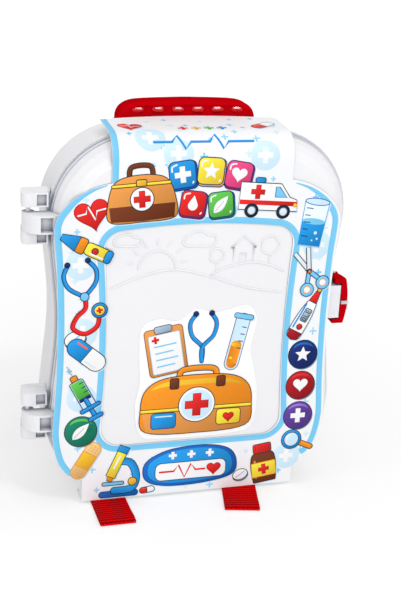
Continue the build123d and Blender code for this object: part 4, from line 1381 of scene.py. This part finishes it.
@dataclass
class CarryHandle:
    """Red moulded handle: an arch with full shoulders, a sunk front panel and six grip ribs."""

    x: float = -2.0
    front_y: float = 34.0
    back_y: float = 50.0
    half_width: float = 49.2
    top_z: float = 277.2
    opening_half: float = 33.0
    opening_z: float = 264.7
    edge_radius: float = 3.0
    panel_half: float = 37.0
    panel_depth: float = 0.8
    panel_ease: float = 1.6
    rib_count: int = 6
    rib_pitch: float = 14.3
    rib_half_length: float = 4.3
    rib_proud: float = 1.0
    rib_z: float = 270.6

    def stations(self) -> list[tuple[Vector, Vector]]:
        """Outer and inner points of the arch.

        Returns:
            Pairs of points from the left foot to the right one.
        """
        # How far in from the outer edge and below the top, then the same for the opening.
        shoulder = [(0, 14.7), (0.2, 10.8), (1.8, 7), (4.6, 4.2)]
        shoulder += [(8.6, 2.2), (14.2, 1.1), (25.2, 0.5), (37.2, 0.2)]
        throat = [(0, 2.2), (0, 0.7), (0, 0.1), (0.4, 0), (1.4, 0), (3.4, 0), (11, 0), (22, 0)]
        lines: list[list[Point]] = []
        edges = ((self.half_width, self.top_z, shoulder), (self.opening_half, self.opening_z, throat))
        for half, top, drops in edges:
            left = [(inset - half, top - drop) for inset, drop in drops]
            right = [(-x, z) for x, z in reversed(left)]
            lines.append(spline(left + [(0.0, top)] + right, steps=5))
        return [tuple(Vector((self.x + x, 0, z)) for x, z in pair) for pair in zip(*lines)]

    def ring(self, outer: Vector, inner: Vector) -> list[Vector]:
        """Rounded section of the arch, its front sunk inside the panel.

        Args:
            outer: its outer end.
            inner: its inner end.

        Returns:
            Points round the section.
        """
        height, up = (outer - inner).length, (outer - inner).normalized()
        middle_y, half_depth = (self.front_y + self.back_y) / 2, (self.back_y - self.front_y) / 2
        radius = min(self.edge_radius, height / 2 - 0.1)
        points: list[Vector] = []
        for quarter, (sy, sz) in enumerate(CORNERS):
            bend = radius if sz > 0 else radius * 0.7
            middle = (middle_y + sy * (half_depth - bend), height / 2 + sz * (height / 2 - bend))
            arc = quarter_arc(*middle, bend, quarter, 5)
            points += [inner + up * rise + Vector((0, y, 0)) for y, rise in arc]
            if quarter == 1:
                reach = abs((outer.x + inner.x) / 2 - self.x)
                share = min(max((self.panel_half - reach) / self.panel_ease, 0.0), 1.0)
                for rise, deep in ((0.74, 0.0), (0.70, 1.0), (0.45, 1.0), (0.2, 1.0)):
                    sunk = Vector((0, self.front_y + self.panel_depth * deep * share, 0))
                    points.append(inner + up * rise * height + sunk)
        return points

    def rib(self, mesh: Any, x: float) -> None:
        """Add one grip rib with rounded ends; its upper bevel is flat and catches the light.

        Args:
            mesh: the bmesh to add to.
            x: the rib's middle.
        """
        lower = [(-2.3, -0.3), (-2.0, 0.55), (-1.3, 0.95), (-0.5, 1.1), (0.35, 1.08)]
        bevel = [(0.5, 1.0), (1.6, 0.336)]
        profile = lower + bevel + [(2.3, -0.3)]
        rings = 14
        rows: list[list[Any]] = []
        for i in range(rings + 1):
            along = -math.cos(math.pi * i / rings)
            narrow = max(0.0, 1 - abs(along) ** 5) ** 0.5
            row = []
            for rise, proud in profile:
                y = self.front_y + self.panel_depth - proud * self.rib_proud * max(narrow, 0.05)
                place = Vector((x + along * self.rib_half_length, y, self.rib_z + rise * narrow))
                row.append(mesh.verts.new(place * MM))
            rows.append(row)
        for one, other in zip(rows, rows[1:]):
            for k in range(len(profile) - 1):
                face = mesh.faces.new((one[k], other[k], other[k + 1], one[k + 1]))
                face.smooth = k != len(lower)
                face.material_index = 1

    def build(self, material: Any, polished_lighter: Any) -> Any:
        """Make the handle's mesh with its ribs.

        Args:
            material: the handle's plastic.
            polished_lighter: the same plastic, rubbed smooth on the ribs, its colour painted lighter as a
                highlight.

        Returns:
            The handle.
        """
        mesh = bmesh.new()
        rows = [[mesh.verts.new(p * MM) for p in self.ring(outer, inner)] for outer, inner in self.stations()]
        count = len(rows[0])
        for one, other in zip(rows, rows[1:]):
            for k in range(count):
                j = (k + 1) % count
                mesh.faces.new((one[k], one[j], other[j], other[k])).smooth = True
        mesh.faces.new(rows[0])
        mesh.faces.new(list(reversed(rows[-1])))
        for index in range(self.rib_count):
            self.rib(mesh, self.x + (index - (self.rib_count - 1) / 2) * self.rib_pitch)
        bmesh.ops.recalc_face_normals(mesh, faces=mesh.faces)
        piece = add_piece(mesh, "handle_grip", material, polished_lighter)
        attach(piece, "rear_case")
        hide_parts("carry_handle")
        return piece


@dataclass
class LidRelief:
    """Raised line picture moulded on the lid's face: a sun behind a hill, a house, trees and clouds."""

    face_y: float = -18.0
    line_width: float = 1.5
    height: float = 0.6
    sun_x: float = -34.0
    sun_z: float = 172.8
    sun_radius: float = 13.0

    def ridge(self, mesh: Any, points: Sequence[Point], closed: bool) -> None:
        """Raise one rounded line.

        Args:
            mesh: the bmesh to add to.
            points: the line's middle, x and z in millimetres.
            closed: whether the line comes back to its start.
        """
        sections = ((1.0, -0.05), (0.66, 0.7), (0.25, 1.0))
        left, right = zip(*(band(points, self.line_width * share, closed) for share, _ in sections))
        lifts = [lift for _, lift in sections]
        lines = [*zip(left, lifts), *zip(right[::-1], lifts[::-1])]
        rows: list[list[Any]] = []
        for i in range(len(points)):
            fade = 1.0 if closed or 0 < i < len(points) - 1 else 0.0
            row = [(line[i], self.face_y - self.height * max(lift * fade, lift - 1)) for line, lift in lines]
            rows.append([mesh.verts.new(Vector((x, y, z)) * MM) for (x, z), y in row])
        for i in range(len(rows) if closed else len(rows) - 1):
            one, other = rows[i], rows[(i + 1) % len(rows)]
            for k in range(5):
                mesh.faces.new((one[k], other[k], other[k + 1], one[k + 1])).smooth = True

    def lines(self) -> list[tuple[list[Point], bool]]:
        """Lay out the whole picture.

        Returns:
            Every line, with whether it is closed.
        """
        hill = spline([(-66, 160), (-46, 168), (-22, 172), (4, 166), (30, 157), (58, 152)], steps=8)
        far_hill = spline([(4, 167.5), (18, 173), (34, 175), (48, 172), (58, 167)], steps=8)
        sun = [self.sun_point(self.sun_radius, i / 20) for i in range(21)]
        rays = [[self.sun_point(r, 0.08 + 0.14 * i) for r in (16.5, 19.0, 22.5)] for i in range(7)]
        house = [(20, 176), (20, 186), (18, 186), (27, 194), (36, 186), (34, 186), (34, 176)]
        door = [(25, 176), (25, 182), (29, 182), (29, 176)]
        drawn = [(line, False) for line in (hill, far_hill, sun, *rays, house, door)]
        for x, z, size in ((46, 187, 6.5), (8, 181, 5.0)):
            turns = [math.pi * i / 15 for i in range(30)]
            reach = [size * math.cos(a) * (1 + 0.12 * math.cos(5 * a)) for a in turns]
            crown = [(x + r, z + size * math.sin(a)) for r, a in zip(reach, turns)]
            drawn += [(crown, True), ([(x, z - size - drop) for drop in (0, 3, 6.5)], False)]
        edge = [(-11, -3), (-12.5, 1), (-8, 4.4), (-3.5, 6.6), (2, 6)]
        edge += [(5, 3.6), (10, 3), (11, -1.4), (6, -4), (-4, -4)]
        for x, z, size in ((-54, 193, 0.8), (-4, 192, 1.0)):
            drawn.append((spline([(x + a * size, z + b * size) for a, b in edge], True, 4), True))
        return drawn

    def sun_point(self, radius: float, share: float) -> Point:
        """Point at a distance from the sun's middle, share of a half turn round from the right."""
        angle = math.pi * share
        return (self.sun_x + radius * math.cos(angle), self.sun_z + radius * math.sin(angle))

    def build(self, material: Any) -> Any:
        """Make the raised lines as one piece.

        Args:
            material: the lid's plastic.

        Returns:
            The relief.
        """
        mesh = bmesh.new()
        for points, closed in self.lines():
            self.ridge(mesh, points, closed)
        bmesh.ops.recalc_face_normals(mesh, faces=mesh.faces)
        piece = add_piece(mesh, "lid_relief", material)
        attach(piece, "lid_half")
        return piece


class Finish(Enum):
    """Moulded plastics of the case and its fittings."""

    # The crease shade colours below are painted shade, laid by ambient occlusion where walls meet.
    CASE = MouldedPlastic(
        "frosted_polypropylene", "#f3f3f5", "#eeeef1", 0.36,
        milkiness=0.2, milk_reach_mm=1.5, shine=0.3, crease_shade="#8c91a1",
    )
    RED = MouldedPlastic(
        "red_abs", "#c90311", "#bd020d", 0.2,
        ior=1.53, grain_depth_mm=0.002, shine=0.0, crease_shade="#7c0008", crease_shade_mm=3.0,
    )
    # Painted highlight: the ribs' red is lighter than the handle's, besides being smoother and shinier.
    RIB = MouldedPlastic(
        "red_abs_polished", "#d2040f", "#c9030d", 0.1,
        ior=1.53, grain_depth_mm=0.0, wave_depth_mm=0.0, shine=0.36,
    )
    PIN = MouldedPlastic("natural_acetal_pin", "#eceef1", "#e4e7ec", 0.3)
    SLIDER = MouldedPlastic("red_acetal_buckle", "#b7050f", "#a2030b", 0.34, ior=1.48, shine=0.04)
    VINYL = MouldedPlastic("white_sticker_vinyl", "#fdfdfd", "#fafbfb", 0.3, grain_depth_mm=0.002, shine=0.3)


@dataclass
class Dressing:
    """Gives each node of the frame that stays its material."""

    finishes: dict[str, Finish] = field(
        default_factory=lambda: {
            "rear_shell": Finish.CASE,
            "lid": Finish.CASE,
            "hinge_pin_lower": Finish.PIN,
            "hinge_pin_upper": Finish.PIN,
            "latch_pin": Finish.PIN,
            "latch_clasp": Finish.RED,
            "carry_handle": Finish.RED,
            "strap_slider_left": Finish.SLIDER,
            "strap_slider_right": Finish.SLIDER,
        }
    )

    def apply(self) -> dict[Finish, Any]:
        """Build each finish once and assign it.

        Returns:
            The built material of each finish.
        """
        built = {finish: finish.value.build() for finish in Finish}
        for name, finish in self.finishes.items():
            self.dress(name, built[finish])
        self.dress("card_sleeve", CoatedCard().build())
        self.dress("latch_tie", ClearFilm().build())
        return built

    def dress(self, name: str, material: Any) -> None:
        """Put one material on one node.

        Args:
            name: the node's name.
            material: what it is made of.
        """
        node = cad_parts[name]
        node.data.materials.clear()
        node.data.materials.append(material)
        log.info("dressed %s with %s", name, material.name)


@dataclass(frozen=True)
class StudioPaper(Surface):
    """Matt white paper, lit up for the camera alone, and less so by the case, to keep its shadow."""

    name: str = "studio_floor"
    colour: str = "#f8f8f8"
    share: float = 0.3
    near_m: float = 0.08
    near_glow: float = 1.28
    far_m: float = 1.1
    far_glow: float = 2.2

    def shader(self, tree: Any) -> Any:
        """Mix the paper with its glow.

        Args:
            tree: the material's node tree.

        Returns:
            The shader node.
        """
        matte = add_node(tree, "BsdfDiffuse", {"Color": linear(self.colour)})
        place = add_node(tree, "NewGeometry").outputs["Position"]
        away = add_node(tree, "VectorMath", {"operation": "LENGTH"}, {0: place}).outputs["Value"]
        spread = {"From Min": self.near_m, "From Max": self.far_m}
        spread |= {"To Min": self.near_glow, "To Max": self.far_glow}
        lift = add_node(tree, "MapRange", spread, {"Value": away})
        glow = add_node(tree, "Emission", {"Color": (1, 1, 1, 1)}, {"Strength": lift})
        seen = add_node(tree, "LightPath").outputs["Is Camera Ray"]
        share = add_node(tree, "Math", {"operation": "MULTIPLY", 1: self.share}, {0: seen})
        return add_node(tree, "MixShader", {}, {0: share, 1: matte, 2: glow})


@dataclass
class Studio:
    """Pale floor, soft studio light and the photograph's camera."""

    azimuth: float = -17.37
    elevation: float = 19.66
    roll: float = -3.04
    distance_mm: float = 850.0
    target_mm: tuple[float, float, float] = (3.58, 0.0, 142.18)
    focal_px: float = 1209.73
    frame_height_px: float = 601.0
    sensor_mm: float = 36.0
    floor_half_m: float = 6.0
    aim_m: tuple[float, float, float] = (0.0, 0.0, 0.13)
    soft_colour: str = "#fefeff"
    soft_strength: float = 0.56

    def camera(self) -> None:
        """Stand the camera where the photograph was taken."""
        azimuth, elevation, roll = (math.radians(v) for v in (self.azimuth, self.elevation, self.roll))
        level = math.cos(elevation)
        back = Vector((math.sin(azimuth) * level, -math.cos(azimuth) * level, math.sin(elevation)))
        right = Vector((math.cos(azimuth), math.sin(azimuth), 0))
        up = back.cross(right).normalized()
        tilted_right = right * math.cos(roll) - up * math.sin(roll)
        tilted_up = up * math.cos(roll) + right * math.sin(roll)
        lens = bpy.data.cameras.new("camera")
        lens.sensor_fit = "VERTICAL"
        lens.sensor_height = self.sensor_mm
        lens.lens = self.focal_px * self.sensor_mm / self.frame_height_px
        lens.clip_start = 0.05
        holder = bpy.data.objects.new("camera", lens)
        turn = Matrix((tilted_right, tilted_up, back)).transposed().to_4x4()
        place = (Vector(self.target_mm) + back * self.distance_mm) * MM
        holder.matrix_world = Matrix.Translation(place) @ turn
        bpy.context.collection.objects.link(holder)
        bpy.context.scene.camera = holder

    def floor(self) -> None:
        """Lay a broad pale floor that keeps only a soft shadow."""
        mesh = bmesh.new()
        half = self.floor_half_m
        mesh.faces.new([mesh.verts.new((-sx * half, -sy * half, 0)) for sx, sy in CORNERS])
        piece = add_piece(mesh, "floor", StudioPaper().build())

    def world(self) -> None:
        """White surroundings: bright where they are seen, gentler where they light the case."""
        world = bpy.data.worlds.new("studio")
        bpy.context.scene.world = world
        world.use_nodes = True
        tree = world.node_tree
        tree.nodes.clear()
        path = add_node(tree, "LightPath")
        rays = [path.outputs[name] for name in ("Is Camera Ray", "Is Glossy Ray", "Is Transmission Ray")]
        first = add_node(tree, "Math", {"operation": "MAXIMUM"}, {0: rays[0], 1: rays[1]})
        shown = add_node(tree, "Math", {"operation": "MAXIMUM"}, {0: first, 1: rays[2]})
        gentle = {"Color": linear(self.soft_colour), "Strength": self.soft_strength}
        soft = add_node(tree, "Background", gentle)
        white = add_node(tree, "Background", {"Color": (1, 1, 1, 1), "Strength": 1.0})
        mix = add_node(tree, "MixShader", {}, {0: shown, 1: soft, 2: white})
        add_node(tree, "OutputWorld", {}, {"Surface": mix})

    def lamp(self, name: str, place: tuple[float, float, float], size: float, power: float) -> None:
        """Hang one square soft box aimed at the case.

        Args:
            name: the lamp's name.
            place: where it hangs, in metres.
            size: its side, in metres.
            power: its power in watts.
        """
        light = bpy.data.lights.new(name, "AREA")
        light.size = size
        light.energy = power
        holder = bpy.data.objects.new(name, light)
        aim = Vector(self.aim_m) - Vector(place)
        holder.matrix_world = Matrix.Translation(place) @ aim.to_track_quat("-Z", "Y").to_matrix().to_4x4()
        bpy.context.collection.objects.link(holder)

    def build(self) -> None:
        """Set up the whole studio."""
        self.camera()
        self.floor()
        self.world()
        self.lamp("key", (-0.5, -1.7, 0.8), 0.8, 7.2)
        self.lamp("fill", (1.2, -1.2, 0.5), 1.0, 2.6)
        self.lamp("left", (-1.3, -0.3, 1.0), 0.9, 2.2)
        self.lamp("top", (0.1, -0.2, 1.6), 0.9, 2.7)
        self.lamp("spark", (0.45, -0.93, 1.47), 0.26, 3.9)


def main() -> None:
    """Build every sub-assembly in order and log the face count of each new piece."""
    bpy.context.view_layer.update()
    built = Dressing().apply()
    inks = {ink: OffsetInk(f"offset_ink_{ink.name.lower()}", ink.value, ink.fade).build() for ink in Ink}
    card_print = SleevePrint().build(inks)
    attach(card_print, "sleeve")
    sticker = FaceSticker().build(built[Finish.VINYL], inks)
    for piece in sticker:
        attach(piece, "lid_half")
    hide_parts("face_sticker")
    handle = CarryHandle().build(built[Finish.RED], built[Finish.RIB])
    relief = LidRelief().build(built[Finish.CASE])
    webbing = WovenWebbing().build()
    left = WebbingStrap("webbing_left", "strap_left", -63.1, 0.0).build(webbing)
    right = WebbingStrap("webbing_right", "strap_right", 44.0, 13.0).build(webbing)
    for piece in (card_print, *sticker, handle, relief, left, right):
        log.info("%s: %d faces", piece.name, len(piece.data.polygons))
    Studio().build()
    bpy.context.scene.view_settings.view_transform = "Standard"
    bpy.context.view_layer.update()


if __name__ == "__main__":
    main()
